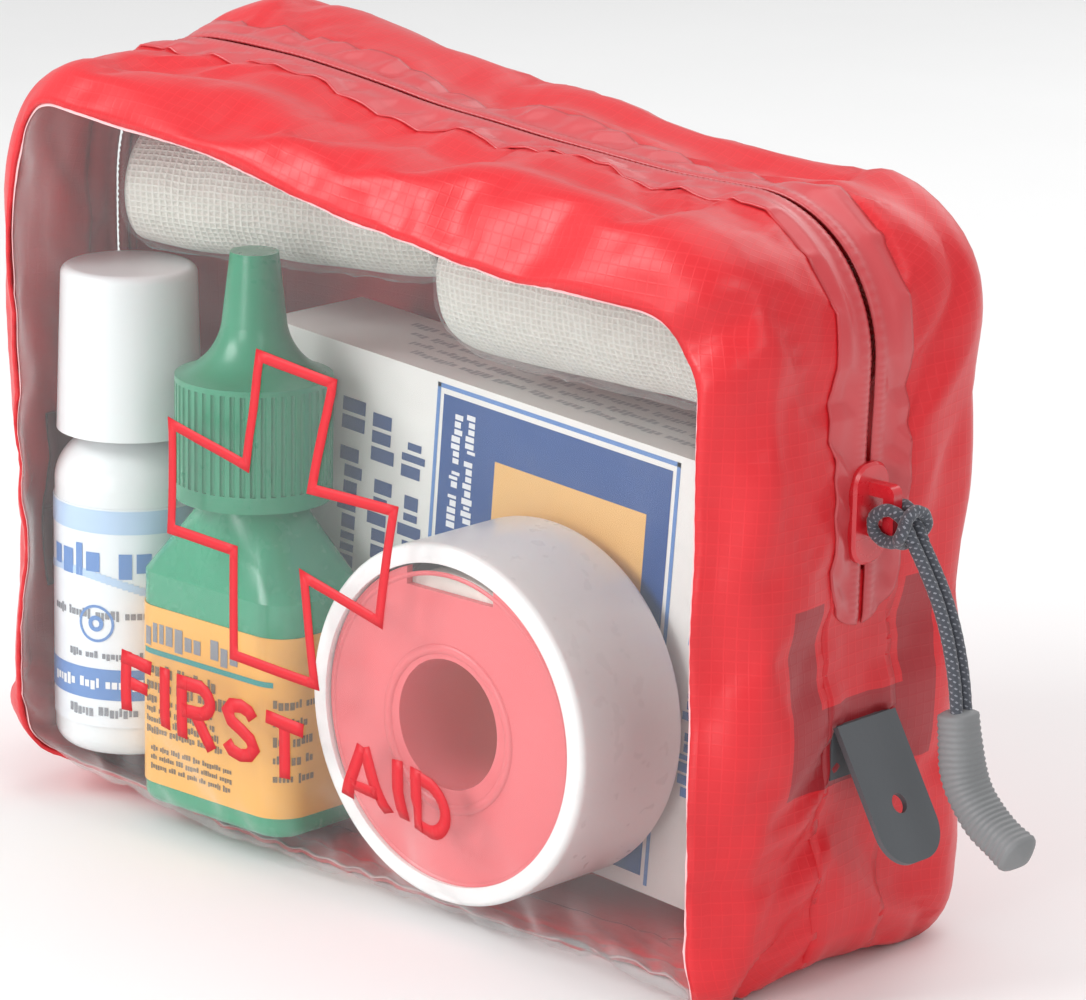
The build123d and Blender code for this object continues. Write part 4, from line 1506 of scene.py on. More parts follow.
    def clear_window(self) -> None:
        """Clear film behind the window, crumpled where the contents push it."""
        sides = [[spot + out * self.weld
                  for spot, out in self.window.side(index, count, self.outline_reach)]
                 for index, count in enumerate(self.counts())]
        grid = patch_grid(sides)
        flat = [spot for row in grid for spot in row]
        film = self.lay("clear_window", flat, grid_faces(len(grid), len(grid[0])), self.finishes.film,
                        lift=self.film_depth, thickness=self.film, ripple=self.crumple)
        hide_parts("window_film")
        loop = self.window.loop(self.counts(), self.outline_reach)
        flat = [spot + out * reach for reach in (-0.55 * MM, -0.2 * MM, 0.25 * MM) for spot, out in loop]
        line = self.lay("film_weld_line", flat, grid_faces(3, len(loop), closed=True),
                        self.finishes.weld_line, lift=self.film_depth + 0.16 * MM, ripple=self.crumple)
        thicken(line, 0.1 * MM)

    @staticmethod
    def crumple(spot: Vector) -> float:
        """Ripple the film outwards, most where the contents push it.

        Args:
            spot: A flat point.

        Returns:
            Its height over the smooth film.
        """
        place = Vector((spot.x, 0.0, spot.y))
        broad = noise.noise(place * 26.0 + Vector((1.3, 0.2, 0.9))) * 0.55
        zones = (
            (Vector((-0.060, 0, 0.105)), 0.030, 1.0), (Vector((0.062, 0, 0.012)), 0.030, 1.0),
            (Vector((0.045, 0, 0.098)), 0.032, 0.8), (Vector((-0.075, 0, 0.020)), 0.026, 0.8),
            (Vector((-0.005, 0, 0.108)), 0.020, 0.7))
        near = sum(weight * math.exp(-((place - centre).length / size) ** 2)
                   for centre, size, weight in zones)
        stretched = Vector((place.x * 46 + place.z * 60, 0.4, place.z * 85 - place.x * 35))
        ridge = 1 - abs(noise.noise(stretched)) * 2.2
        second = 1 - abs(noise.noise(stretched * 1.9 + Vector((4, 4, 2)))) * 2.0
        return (broad + near * (0.75 * ridge + 0.35 * second - 0.5)) * MM

    def hidden_parts(self) -> None:
        """U-shaped patches inside both ends."""
        form = self.skin.form
        low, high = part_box("end_patch_right")
        half, foot, top = high[1], low[2], high[2]
        shoulder = foot + PATCH_BAND
        spans = (((-half, half), (foot, shoulder)), ((-half, -half + PATCH_ARM), (shoulder, top)),
                 ((half - PATCH_ARM, half), (shoulder, top)))
        for end in End:
            name, side = end.name.lower(), end.value
            points: List[Vector] = []
            faces: List[List[int]] = []
            weave: List[Tuple[float, float]] = []
            for (y_low, y_high), (z_low, z_high) in spans:
                columns = max(2, round((y_high - y_low) / self.grain))
                rows = max(2, round((z_high - z_low) / self.grain))
                start = len(points)
                for row in range(rows + 1):
                    for column in range(columns + 1):
                        y = y_low + (y_high - y_low) * column / columns
                        z = z_low + (z_high - z_low) * row / rows
                        reach = abs(y) - (form.half_depth - form.edge)
                        turn = math.asin(min(0.95, max(0.0, reach) / form.edge))
                        x = side * (form.half_width - form.edge * (1 - math.cos(turn)))
                        spot = self.skin.carry(Vector((x, y, z)))
                        points.append(spot - Vector((side * 1.0 * MM, 0, 0)))
                        weave.append((y, z))
                faces += [[start + number for number in face] for face in grid_faces(rows + 1, columns + 1)]
            patch = make_piece(f"patch_{name}", points, facing_out(points, faces),
                               self.finishes.patch, weave=weave)
            thicken(patch, 0.4 * MM)
            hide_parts(f"end_patch_{name}")

    def build(self) -> None:
        """Build every piece of the shell."""
        self.panels()
        LOG.info("panels laid")
        self.rim()
        self.coils()
        LOG.info("zip and base laid")
        self.clear_window()
        self.hidden_parts()
        LOG.info("window and patches laid")


def ribbon(line: Sequence[Vector], width: float, closed: bool = False,
           step: float = 1.8 * MM) -> Tuple[List[Vector], List[List[int]]]:
    """Widen a flat line into a ribbon with mitred bends.

    Args:
        line: Points in the flattened plane.
        width: Ribbon width.
        closed: Whether the line joins its own start.
        step: Longest cell along it.

    Returns:
        Flat points and faces.
    """
    dense: List[Tuple[Vector, Vector, float]] = []
    count = len(line)
    spans = count if closed else count - 1

    def across(index: int) -> Tuple[Vector, float]:
        """Mitre the ribbon at a point.

        Args:
            index: The point's number.

        Returns:
            The direction across, and how much wider the mitre is.
        """
        before = line[index - 1] if closed or index else None
        after = line[(index + 1) % count] if closed or index < count - 1 else None
        ways = [way.normalized() for way in (
            (line[index] - before) if before is not None else None,
            (after - line[index]) if after is not None else None) if way is not None]
        normals = [Vector((-way.y, way.x)) for way in ways]
        mean = sum(normals, Vector((0, 0))).normalized()
        return mean, 1 / max(0.45, mean.dot(normals[0]))

    for index in range(spans):
        start, end = line[index], line[(index + 1) % count]
        (first, stretch_a), (second, stretch_b) = across(index), across((index + 1) % count)
        cells = max(1, round((end - start).length / step))
        for cell in range(cells + (1 if not closed and index == spans - 1 else 0)):
            share = cell / cells
            dense.append((start.lerp(end, share), first.lerp(second, share).normalized(),
                          stretch_a + (stretch_b - stretch_a) * share))
            if 0 < share < 1:
                straight = Vector((-(end - start).y, (end - start).x)).normalized()
                dense[-1] = (dense[-1][0], straight, 1.0)
    points = [spot + way * stretch * width / 2 * side for spot, way, stretch in dense for side in (-1, 1)]
    faces = []
    total = len(dense)
    for index in range(total if closed else total - 1):
        after = (index + 1) % total
        faces.append([2 * index, 2 * after, 2 * after + 1, 2 * index + 1])
    return points, faces


@dataclass
class Prints:
    """Printed cross outline and lettering on the clear window."""

    shell: Shell
    line: float = 1.9 * MM
    stroke: float = 2.5 * MM
    tall: float = 11.5 * MM
    slope: float = -0.088
    start: Tuple[float, float] = (-0.0488, 0.0238)
    nudge: Tuple[float, float] = (0.0032, -0.0034)
    letter_gap: float = 0.09
    word_gap: float = 7.2 * MM
    ink_lift: float = 0.14 * MM
    cross: Tuple[Tuple[float, float], ...] = (
        (-18, 96.5), (-1, 95), (-5.5, 76.2), (13, 76.2), (10, 56.9), (-7.4, 60.9),
        (-5, 42.7), (-24, 43.7), (-24, 62), (-39.5, 62.6), (-39.3, 81.2), (-21, 77.2))

    @staticmethod
    def strokes(letter: str) -> Tuple[float, List[List[Tuple[float, float]]]]:
        """Draw a capital as plain strokes.

        Args:
            letter: The capital.

        Returns:
            Its width and strokes, in parts of its height.
        """
        bowl = [(0.42 + 0.30 * math.sin(math.radians(turn)),
                 0.72 + 0.28 * math.cos(math.radians(turn)) * 0.80) for turn in range(0, 181, 20)]
        belly = [(0.32 + 0.42 * math.sin(math.radians(turn)), 0.5 + 0.39 * math.cos(math.radians(turn)))
                 for turn in range(0, 181, 15)]
        snake = [(0.66, 0.76), (0.58, 0.86), (0.42, 0.90), (0.24, 0.86), (0.15, 0.74), (0.22, 0.61),
                 (0.42, 0.52), (0.60, 0.42), (0.68, 0.28), (0.58, 0.15), (0.40, 0.10), (0.22, 0.14),
                 (0.12, 0.25)]
        shapes = {
            "F": (0.74, [[(0.13, 0), (0.13, 1)], [(0.02, 0.89), (0.68, 0.89)], [(0.13, 0.50), (0.60, 0.50)]]),
            "I": (0.30, [[(0.15, 0), (0.15, 1)]]),
            "R": (0.84, [[(0.13, 0), (0.13, 1)], [(0.02, 0.89)] + bowl[1:] + [(0.13, 0.46)],
                         [(0.42, 0.46), (0.74, 0.0)]]),
            "S": (0.82, [snake]),
            "T": (0.80, [[(0.40, 0), (0.40, 0.9)], [(0.02, 0.89), (0.78, 0.89)]]),
            "A": (0.92, [[(0.06, 0), (0.44, 0.98)], [(0.48, 0.98), (0.86, 0)], [(0.20, 0.30), (0.72, 0.30)]]),
            "D": (0.88, [[(0.13, 0), (0.13, 1)], [(0.02, 0.89)] + belly[1:-1] + [(0.02, 0.11)]]),
        }
        return shapes[letter]

    def build(self) -> None:
        """Lay the cross and the words on the film."""
        corners = [Vector(corner) * MM + Vector(self.nudge) for corner in self.cross]
        flat, faces = ribbon(corners, self.line, closed=True)
        self._print("cross_print", flat, faces)
        words: List[Vector] = []
        cells: List[List[int]] = []
        run = 0.0
        for letter in "FIRST AID":
            if letter == " ":
                run += self.word_gap
                continue
            width, strokes = self.strokes(letter)
            for stroke in strokes:
                line = [self._spot(run + x * self.tall, z * self.tall) for x, z in stroke]
                points, quads = ribbon(line, self.stroke)
                cells += [[len(words) + number for number in quad] for quad in quads]
                words += points
            run += (width + self.letter_gap) * self.tall
        self._print("words_print", words, cells)
        LOG.info("prints laid")

    def _spot(self, across: float, up: float) -> Vector:
        """Place of a lettering point in the flattened plane."""
        return Vector((self.start[0] + across, self.start[1] + up + across * self.slope))

    def _print(self, name: str, flat: Sequence[Vector], faces: List[List[int]]) -> None:
        """Lay one printed piece just outside the film.

        Args:
            name: Piece name.
            flat: Points in the flattened plane.
            faces: Faces over those points.
        """
        piece = self.shell.lay(name, flat, faces, self.shell.finishes.ink,
                               lift=self.shell.film_depth + self.ink_lift, ripple=self.shell.crumple)
        thicken(piece, 0.06 * MM)


# Zip pull
@dataclass
class Pull:
    """Braided double cord hitched to the slider, with its ribbed rubber grip."""

    finishes: Finishes
    diameter: float = 2.2 * MM
    pitch: float = 2.4 * MM
    plaits: int = 4
    plait: float = 1.9 * MM
    length: float = 35.2 * MM
    grip_wide: float = 3.6
    grip_deep: float = 3.2
    grip_rib: float = 1.05 * MM
    bar_radius: float = 1.1 * MM
    bar_height: float = 80.6 * MM
    route: Tuple[Tuple[float, float], ...] = (
        (0.0990, 0.0785), (0.1032, 0.0726), (0.1066, 0.0654), (0.1088, 0.0574),
        (0.1096, 0.0506), (0.1104, 0.0456))
    spine: Tuple[Tuple[float, float], ...] = (
        (0.1088, 0.0522), (0.1094, 0.0470), (0.1106, 0.0405), (0.1146, 0.0352),
        (0.1192, 0.0322), (0.1236, 0.0300))
    turn: Tuple[Point, ...] = (
        (5.6, 1.3, -2.6), (4.2, 1.35, -0.3), (3.3, 1.4, 1.4), (0.9, 2.2, 2.7), (-1.6, 2.6, 1.2),
        (-2.4, 2.5, -0.6), (-1.2, 2.2, -2.6), (1.4, 2.0, -3.2), (3.4, 2.1, -2.4))
    collar: Tuple[Point, ...] = (
        (3.0, -2.3, -2.6), (4.8, -3.3, -0.6), (4.9, -2.3, 1.8), (4.6, 0.0, 2.7),
        (4.9, 2.3, 1.8), (4.8, 3.3, -0.6), (3.0, 2.3, -2.6), (2.6, 0.0, -3.4))

    def _relief(self, run: float, angle: float) -> float:
        """Give the cord's braided relief.

        Args:
            run: Distance along the cord.
            angle: Angle round it.

        Returns:
            Its radius there.
        """
        turn = run / self.plait * math.pi
        around = self.plaits * angle
        return self.diameter / 2 * (0.965 + 0.045 * math.sin(around + turn) * math.sin(around - turn))

    def strands(self) -> List[Tuple[bpy.types.Object, List[Vector]]]:
        """Lay both strands, from the hitch into the grip.

        Returns:
            Each strand with the points that it follows.
        """
        made = []
        for face in Face:
            name, y = face.name.lower(), face.value * self.pitch / 2
            path = spline_points(f"line_{name}", [(x, y, z) for x, z in self.route], 16)
            points, faces, weave = tube(path, self._relief, 20)
            strand = make_piece(f"strand_{name}", points, faces, self.finishes.cord, "pull", weave)
            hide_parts(f"pull_cord_{name}")
            made.append((strand, path))
        return made

    def grip(self) -> bpy.types.Object:
        """Mould the S-shaped rubber grip with fine ribs across it.

        Returns:
            The grip.
        """
        path = spline_points("grip_line", [(x, 0.0, z) for x, z in self.spine], 40)
        lengths = distances(path)
        whole = lengths[-1]
        points: List[Vector] = []
        weave: List[Tuple[float, float]] = []
        sides = 28
        for index, centre in enumerate(path):
            share = lengths[index] / whole
            ahead, behind = path[min(index + 1, len(path) - 1)], path[max(index - 1, 0)]
            tangent = (ahead - behind).normalized()
            wide = Vector((0, 1, 0))
            deep = tangent.cross(wide)
            ends = min(1.0, (share + 0.006) / 0.035) ** 0.5 * min(1.0, (1.004 - share) / 0.06) ** 0.5
            tip = 0.10 * math.exp(-((share - 0.93) / 0.08) ** 2)
            swell = 0.92 + 0.16 * math.sin(share * math.pi) ** 2 + tip
            waist = 1 - 0.13 * math.exp(-((share - 0.52) / 0.14) ** 2)
            fade = min(1, 12 * share * (1 - share))
            rib = 1 + 0.028 * math.sin(lengths[index] / self.grip_rib * 2 * math.pi) * fade
            for step in range(sides):
                angle = 2 * math.pi * step / sides
                across = math.copysign(abs(math.cos(angle)) ** 0.72, math.cos(angle))
                along = math.copysign(abs(math.sin(angle)) ** 0.72, math.sin(angle))
                reach = wide * across * self.grip_wide + deep * along * self.grip_deep * waist
                points.append(centre + reach * MM * ends * swell * rib)
                weave.append((angle * 3 * MM, lengths[index]))
        faces = grid_faces(len(path), sides, closed=True)
        faces += [list(range(sides))[::-1], [(len(path) - 1) * sides + step for step in range(sides)]]
        grip = make_piece("rubber_grip", points, faces, self.finishes.rubber, "pull", weave)
        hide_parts("pull_grip")
        return grip

    def hitch(self) -> bpy.types.Object:
        """Tie the lark's head: two turns round the bridge bar under a cross-over loop.

        Returns:
            The knot.
        """
        low, high = (Vector(corner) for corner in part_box("cord_hitch"))
        bar = Vector((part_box("slider_bridge")[1][0] - self.bar_radius, 0, self.bar_height))
        points: List[Vector] = []
        faces: List[List[int]] = []
        weave: List[Tuple[float, float]] = []
        routes = [[(x, y * face.value, z) for x, y, z in self.turn] for face in Face]
        for route in routes + [list(self.collar + self.collar[:3])]:
            path = spline_points("hitch_line", [tuple(bar + Vector(spot) * MM) for spot in route], 10)
            if len(route) > len(self.turn):
                path = path[len(path) // 8:]
            new_points, new_faces, new_weave = tube(path, self._relief, 14)
            start = len(points)
            points += new_points
            weave += new_weave
            faces += [[start + number for number in face] for face in new_faces]
        for point in points:
            point.x = max(point.x, low.x - 1.5 * MM)
            point.z = min(point.z, high.z + 2.5 * MM)
        knot = make_piece("hitch_knot", points, faces, self.finishes.cord, "pull", weave)
        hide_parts("cord_hitch")
        return knot

    def build(self) -> None:
        """Build the pull: both strands, the grip and the knot."""
        strands = self.strands()
        grip, knot = self.grip(), self.hitch()
        for strand, path in strands:
            tuple(path[0])
            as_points(path)
        LOG.info("pull laid")


# Things packed inside
def lathe(name: str, centre: Point, profile: Sequence[Tuple[float, float]],
          material: bpy.types.Material, body: str, sides: int) -> bpy.types.Object:
    """Turn a profile about an axis that faces the window.

    Args:
        name: Piece name.
        centre: Point on the axis where the profile's height is nought.
        profile: (radius, height) pairs in millimetres.
        material: Its finish.
        body: The body it rides on.
        sides: Points round.

    Returns:
        The new piece.
    """
    points, weave = [], []
    for radius, height in profile:
        for step in range(sides):
            angle = 2 * math.pi * step / sides
            offset = Vector((radius * math.cos(angle), height, radius * math.sin(angle)))
            points.append(Vector(centre) + offset * MM)
            weave.append((angle * radius * MM, height * MM))
    faces = grid_faces(len(profile), sides, closed=True, flip=True)
    return make_piece(name, points, faces, material, body, weave)


@dataclass(frozen=True)
class Roll:
    """A wrapped roll of gauze, with its radius and length in millimetres."""

    name: str
    centre: Point
    radius: float
    length: float
    yaw: float

    def point(self, run: float, angle: float, reach: float) -> Vector:
        """Find a point of the roll.

        Args:
            run: Distance along it from its middle, in millimetres.
            angle: Angle round it.
            reach: Distance from its axis, in millimetres.

        Returns:
            The point.
        """
        along = Vector((math.cos(math.radians(self.yaw)), math.sin(math.radians(self.yaw)), 0))
        side = Vector((-along.y, along.x, 0))
        outward = side * math.cos(angle) + Vector((0, 0, 1)) * math.sin(angle)
        return Vector(self.centre) + along * (run * MM) + outward * (reach * MM)

    def unevenness(self, run: float, angle: float, spread: float, scale: float = 1.0) -> float:
        """Draw smooth noise over the roll's surface.

        Args:
            run: Place along it, in noise units.
            angle: Angle round it.
            spread: Noise units from the axis to the surface.
            scale: Shrinks the pattern.

        Returns:
            The noise, about nought.
        """
        seed = Vector((self.centre[0] * 40, 3.0, 1.0))
        spot = Vector((run, math.cos(angle) * spread, math.sin(angle) * spread)) + seed
        return noise.noise(spot * scale)


@dataclass
class Contents:
    """Reel, two bottles, carton and gauze: moulded parts keep their rigid shapes."""

    finishes: Finishes
    label_turn: float = 6.2 * MM
    band_span: float = 34 * MM
    carton_lean: float = 4.0
    carton_corner: Tuple[float, float] = (62.0 * MM, 3.2 * MM)
    carton_size: Tuple[float, float, float] = (116.0, 79.0, 24.0)
    rolls: Tuple[Roll, ...] = (Roll("left", (-0.0445, 0.0035, 0.1116), 12.0, 60.0, 18.0),
                               Roll("right", (0.038, 0.005, 0.106), 15.2, 76.0, 0.0))

    def dress(self) -> None:
        """Give every carried-over rigid part its finish."""
        look = self.finishes
        table = {
            "slider_body": look.slider, "slider_bridge": look.slider,
            "zip_stop_right": look.coil, "zip_stop_left": look.coil,
            "tab_right": look.tab, "tab_left": look.tab,
            "tab_root_right": look.tab, "tab_root_left": look.tab,
            "reel_ring": look.ring, "reel_spool": look.spool, "reel_tape": look.tape,
            "flask_bottle": look.green, "flask_plug": look.white, "flask_cap": look.cap_green,
            "flask_label": look.amber, "spray_bottle": look.white, "spray_collar": look.white,
            "spray_button": look.white, "spray_dip_tube": look.white, "spray_overcap": look.white,
            "spray_label": look.pale, "plaster_carton": look.board, "plaster_strips": look.plaster}
        for node, material in table.items():
            for place in bpy.data.objects[node].material_slots:
                place.material = material

    def plate(self, name: str, rects: Sequence[Rect], height: float,
              place: Callable[[float, float, float], Vector], material: bpy.types.Material,
              cell: float) -> None:
        """Lay thin printed patches on a surface.

        Args:
            name: Piece name.
            rects: Patches as (left, right, foot, top).
            height: Height over the surface, in millimetres.
            place: Maps (across, up, height) to a point.
            material: The ink.
            cell: Largest cell, in millimetres.
        """
        points: List[Vector] = []
        faces: List[List[int]] = []
        for left, right, foot, top in rects:
            columns = max(1, math.ceil((right - left) / (cell * MM)))
            rows = max(1, math.ceil((top - foot) / (cell * MM)))
            start = len(points)
            for row in range(rows + 1):
                for column in range(columns + 1):
                    points.append(place(left + (right - left) * column / columns,
                                        foot + (top - foot) * row / rows, height * MM))
            faces += [[start + number for number in face] for face in grid_faces(rows + 1, columns + 1)]
        make_piece(name, points, faces, material)

    @staticmethod
    def words(left: float, right: float, foot: float, tall: float, seed: int,
              upright: bool = False) -> List[Rect]:
        """Greek a row of words: small blocks of different widths.

        Args:
            left: Start of the row in millimetres, or its lower edge when upright.
            right: End of the row in millimetres.
            foot: Base line in metres.
            tall: Height of the letters in millimetres.
            seed: Seed of the word lengths.
            upright: Whether the row runs upwards.

        Returns:
            Rectangles of (left, right, foot, top) in metres.
        """
        draw = random.Random(seed)
        rects = []
        run, right, tall = left * MM, right * MM, tall * MM
        while run < right - tall:
            letters = draw.randint(3, 9)
            for _ in range(letters):
                wide = tall * draw.choice((0.30, 0.48, 0.48, 0.55))
                if run + wide > right:
                    break
                drop = draw.choice((0.0, 0.0, 0.22)) * tall
                rise = draw.choice((0.0, 0.28, 0.28)) * tall
                low, high = foot - drop, foot + tall - rise
                rects.append((foot - high + foot, foot - low + foot, run, run + wide) if upright
                             else (run, run + wide, low, high))
                run += wide + tall * 0.16
            run += tall * 0.55
        return rects

    def reel(self) -> None:
        """Fine moulding lines on the reel's flange."""
        low, high = (Vector(corner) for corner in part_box("reel_spool"))
        centre = ((low.x + high.x) / 2, low.y, (low.z + high.z) / 2)
        beads = (("rim", 96, ((26.6, 0.02), (26.9, -0.28), (27.2, -0.28), (27.45, 0.02))),
                 ("hub", 72, ((14.9, 0.02), (14.7, -0.35), (13.4, -0.35), (13.1, 0.05))))
        for name, sides, profile in beads:
            bead = lathe(f"spool_{name}_bead", centre, profile, self.finishes.spool, "spool", sides)

    def flask(self) -> None:
        """Printed label on the green bottle."""
        low, high = (Vector(corner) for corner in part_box("flask_label"))
        middle, half = (low.x + high.x) / 2, (high.x - low.x) / 2
        tall = high.z - low.z
        turn = self.label_turn

        def place(across: float, up: float, height: float) -> Vector:
            """Find a point on the label: flat front, then round the corners.

            Args:
                across: Distance along the label from its middle.
                up: Height over its foot.
                height: Distance outside it.

            Returns:
                The point.
            """
            over = abs(across) - (half - turn)
            side = math.copysign(1, across)
            if over <= 0:
                return Vector((middle + across, low.y - height, low.z + up))
            angle = min(over / turn, math.pi / 2)
            extra = max(0.0, over - turn * math.pi / 2)
            return Vector((middle + side * (half - turn + (turn + height) * math.sin(angle)),
                           low.y + turn - (turn + height) * math.cos(angle) + extra, low.z + up))

        inks = self.finishes
        title = self.words(-15.5, 9, tall - 6.6 * MM, 3.6, 5)
        self.plate("flask_title", title, 0.10, place, inks.grey_ink, 2)
        rule = (-15.8 * MM, 16.5 * MM, tall - 8.9 * MM, tall - 7.9 * MM)
        self.plate("flask_rule", [rule], 0.10, place, inks.teal_ink, 1.5)
        blocks = (  # rows, left, right, its step, first drop, its step, letter height, seed
            (2, -15.2, 4, 3, 12.4, 3.0, 1.9, 11),
            (4, -15.2, 2, 1, 17.8, 1.9, 1.15, 21),
            (3, -13.8, 7, 0, 26.8, 1.7, 0.95, 31),
            (5, 16.5, 25, 0, 12.6, 3.4, 1.5, 41))
        lines: List[Rect] = []
        for rows, left, right, wider, drop, gap, letter, seed in blocks:
            for row in range(rows):
                foot = tall - (drop + gap * row) * MM
                lines += self.words(left, right + wider * row, foot, letter, seed + row)
        self.plate("flask_small_print", lines, 0.10, place, inks.brown_ink, 1.5)

    def spray(self) -> None:
        """Bands, swoosh and round icon on the spray bottle's label."""
        low, high = (Vector(corner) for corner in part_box("spray_label"))
        middle = Vector(((low.x + high.x) / 2, (low.y + high.y) / 2, low.z))
        radius = (high.x - low.x) / 2
        tall = high.z - low.z

        def place(across: float, up: float, height: float) -> Vector:
            """Find a point on the round label, measured round from the front.

            Args:
                across: Distance round the label.
                up: Height over its foot.
                height: Distance outside it.

            Returns:
                The point.
            """
            angle = across / radius
            reach = radius + height
            return middle + Vector((math.sin(angle) * reach, -math.cos(angle) * reach, up))

        inks = self.finishes
        span = self.band_span
        swoosh = []
        for step in range(34):
            left = -17 * MM + step * MM
            foot = tall - 17.5 * MM + 4.8 * MM * math.sin((step + 4) / 38 * math.pi)
            swoosh.append((left, left + 1.02 * MM, foot, foot + 1.5 * MM))
        top_band = (-span, span, tall - 4.6 * MM, tall - 0.3 * MM)
        low_band = (-span, span, 5.2 * MM, 11.0 * MM)
        lines = (self.words(-6, 16, tall - 20.5 * MM, 1.6, 7) + self.words(-1, 14, 13.0 * MM, 1.3, 8)
                 + self.words(-1, 14, 2.2 * MM, 1.6, 9))
        prints = (
            ("swoosh", swoosh, 0.10, inks.light_blue, 1),
            ("top_band", [top_band], 0.08, inks.light_blue, 1.5),
            ("low_band", [low_band], 0.09, inks.mid_blue, 1.5),
            ("title", self.words(-6, 17.5, tall - 11.8 * MM, 5.0, 3), 0.12, inks.mid_blue, 1.5),
            ("lines", lines, 0.10, inks.grey_ink, 1.5),
            ("band_words", self.words(-6, 17, 7.4 * MM, 1.8, 12), 0.16, inks.white_ink, 1.5))
        for name, rects, height, ink, cell in prints:
            self.plate(f"spray_{name}", rects, height, place, ink, cell)
        points, faces = [], []
        steps = 32
        for ring, (inner, outer) in enumerate(((3.0, 3.5), (0.7, 1.5))):
            start = len(points)
            for step in range(steps):
                angle = 2 * math.pi * step / steps
                for reach in (inner, outer):
                    points.append(place(5 * MM + reach * MM * math.cos(angle),
                                        19.5 * MM + reach * MM * math.sin(angle),
                                        (0.11 + ring * 0.01) * MM))
            for step in range(steps):
                here, after = start + 2 * step, start + 2 * ((step + 1) % steps)
                faces.append([here, here + 1, after + 1, after])
        make_piece("spray_icon", points, faces, inks.mid_blue)

    def carton(self) -> None:
        """Printed panel, picture area and greeked lines on the plaster carton."""
        lean = math.radians(self.carton_lean)
        corner = Vector((self.carton_corner[0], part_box("plaster_carton")[0][1], self.carton_corner[1]))
        across_way = Vector((-math.cos(lean), 0, math.sin(lean)))
        up_way = Vector((math.sin(lean), 0, math.cos(lean)))
        wide, tall, depth = (size * MM for size in self.carton_size)

        def place(across: float, up: float, height: float) -> Vector:
            """Point on the carton's front, across from its left end."""
            return corner + across_way * (wide - across) + up_way * up + Vector((0, -height, 0))

        def on_top(across: float, up: float, height: float) -> Vector:
            """Point on the carton's top, up from its front edge."""
            return corner + across_way * (wide - across) + up_way * (tall + height) + Vector((0, up, 0))

        inks = self.finishes
        large, tiny = [], []
        for row in range(3):
            large += self.words(4, 72 - 3 * row, (24.5 + 7.5 * row) * MM, 4.6, 51 + row, upright=True)
        for row in range(4):
            tiny += self.words(18 + 4 * row, 108, depth - (6.0 + 4.2 * row) * MM, 2.0, 71 + row)
        white = (self.words(34, 74, 48.5 * MM, 2.0, 61, upright=True)
                 + self.words(44, 74, 51.8 * MM, 2.0, 62, upright=True))
        count = self.words(20, 70, 106.5 * MM, 3.1, 63, upright=True)
        frame_lines = ((42.4, 43.2, 1.5, 77.8), (97.8, 98.6, 1.5, 77.8), (42.4, 98.6, 77.0, 77.8))
        prints = (
            ("panel", [(44 * MM, 97 * MM, 3 * MM, 76 * MM)], 0.06, place, inks.panel_blue, 8),
            ("picture", [(57 * MM, 92 * MM, 8 * MM, 67 * MM)], 0.12, place, inks.tan, 8),
            ("frame", [tuple(part * MM for part in line) for line in frame_lines], 0.06, place,
             inks.mid_blue, 6),
            ("large_words", large, 0.08, place, inks.navy, 6),
            ("white_words", white, 0.14, place, inks.white_ink, 4),
            ("count_words", count, 0.08, place, inks.mid_blue, 4),
            ("top_words", tiny, 0.08, on_top, inks.pale_ink, 4))
        for name, rects, height, where, ink, cell in prints:
            self.plate(f"carton_{name}", rects, height, where, ink, cell)

    def gauze(self) -> None:
        """Soft rolled gauze in crumpled clear wraps."""
        for roll in self.rolls:
            self._cotton(roll)
            self._wrap(roll)

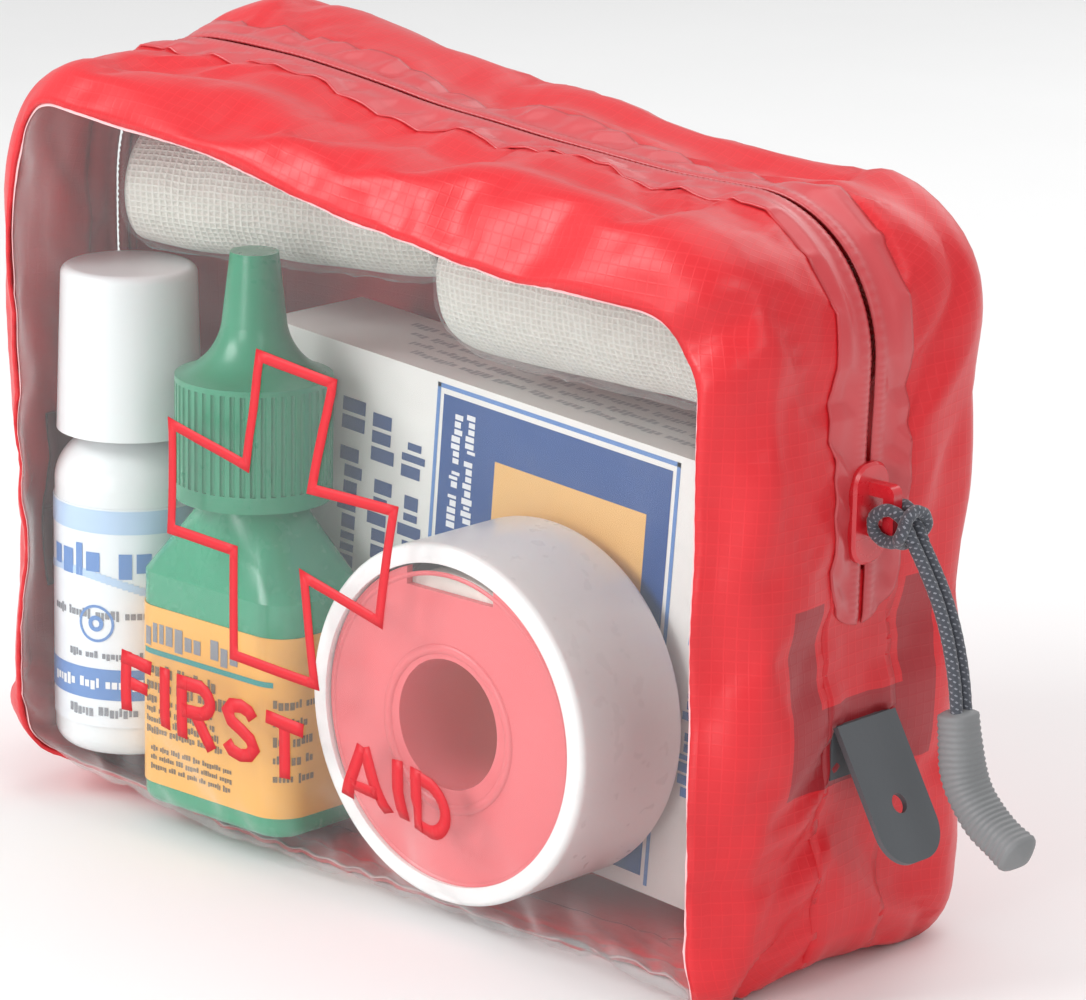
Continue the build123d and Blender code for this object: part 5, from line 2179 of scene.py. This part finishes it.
    def _cotton(self, roll: Roll) -> None:
        """Shape one roll's cotton, with its turns showing at both ends.

        Args:
            roll: The roll's place and size.
        """
        points, weave = [], []
        sides, cells = 72, 46
        for cell in range(cells + 1):
            run = roll.length * (cell / cells - 0.5)
            end = 1 - 0.05 * (abs(cell / cells - 0.5) * 2) ** 8
            for step in range(sides):
                angle = 2 * math.pi * step / sides
                soft = roll.unevenness(run * 0.09, angle, 1.3)
                slack = roll.unevenness(run * 0.02, angle, 4)
                points.append(roll.point(run, angle, (roll.radius - 0.9 + 0.55 * soft + 0.3 * slack) * end))
                weave.append((angle * roll.radius * MM, run * MM))
        faces = grid_faces(cells + 1, sides, closed=True)
        for row, sign in ((0, -1), (cells, 1)):
            start = row * sides
            for ring in range(1, 12):
                reach = roll.radius * 0.93 * (1 - ring / 12.5)
                bulge = (0.55 if ring % 2 else 0.0) + 0.02 * ring
                for step in range(sides):
                    angle = 2 * math.pi * step / sides
                    points.append(roll.point(sign * (roll.length * 0.5 + bulge), angle, reach))
                    weave.append((angle * reach * MM, (run + ring) * MM))
                fresh = len(points) - sides
                for step in range(sides):
                    after = (step + 1) % sides
                    faces.append([start + step, start + after, fresh + after, fresh + step])
                start = fresh
            faces.append([start + step for step in range(sides)])
        cotton = make_piece(f"gauze_{roll.name}", points, faces, self.finishes.gauze, weave=weave)
        mend = bmesh.new()
        mend.from_mesh(cotton.data)
        bmesh.ops.recalc_face_normals(mend, faces=mend.faces)
        mend.to_mesh(cotton.data)
        mend.free()
        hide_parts(f"gauze_roll_{roll.name}")

    def _wrap(self, roll: Roll) -> None:
        """Crumple the clear film round one roll.

        Args:
            roll: The roll's place and size.
        """
        points, weave = [], []
        cells, sides = 64, 88
        for cell in range(cells + 1):
            share = cell / cells - 0.5
            run = (roll.length + 3.0) * share
            pinch = 1 - 0.16 * (abs(share) * 2) ** 10
            for step in range(sides):
                angle = 2 * math.pi * step / sides
                fold = 1 - abs(roll.unevenness(run * 0.12, angle, 2.4)) * 2.4
                fine = 1 - abs(roll.unevenness(run * 0.12, angle, 2.4, 2.3)) * 2.2
                reach = roll.radius + 0.15 + 0.50 * fold + 0.22 * fine
                points.append(roll.point(run, angle, reach * pinch))
                weave.append((angle * roll.radius * MM, run * MM))
        wrap = make_piece(f"clear_wrap_{roll.name}", points, grid_faces(cells + 1, sides, closed=True),
                          self.finishes.crackle, weave=weave)
        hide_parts(f"gauze_wrap_{roll.name}")

    def build(self) -> None:
        """Dress and print everything inside."""
        self.dress()
        self.reel()
        self.flask()
        self.spray()
        self.carton()
        self.gauze()
        LOG.info("contents dressed")


def main() -> None:
    logging.basicConfig(level=logging.INFO, format="%(message)s")
    studio = Studio()
    studio.camera()
    studio.lights()
    studio.floor()
    finishes = Finishes()
    Pull(finishes).build()
    LOG.info("studio and finishes ready")
    skin = Skin(Form())
    LOG.info("skin shaped")
    shell = Shell(skin, finishes)
    shell.build()
    Prints(shell).build()
    Contents(finishes).build()


if __name__ == "__main__":
    main()
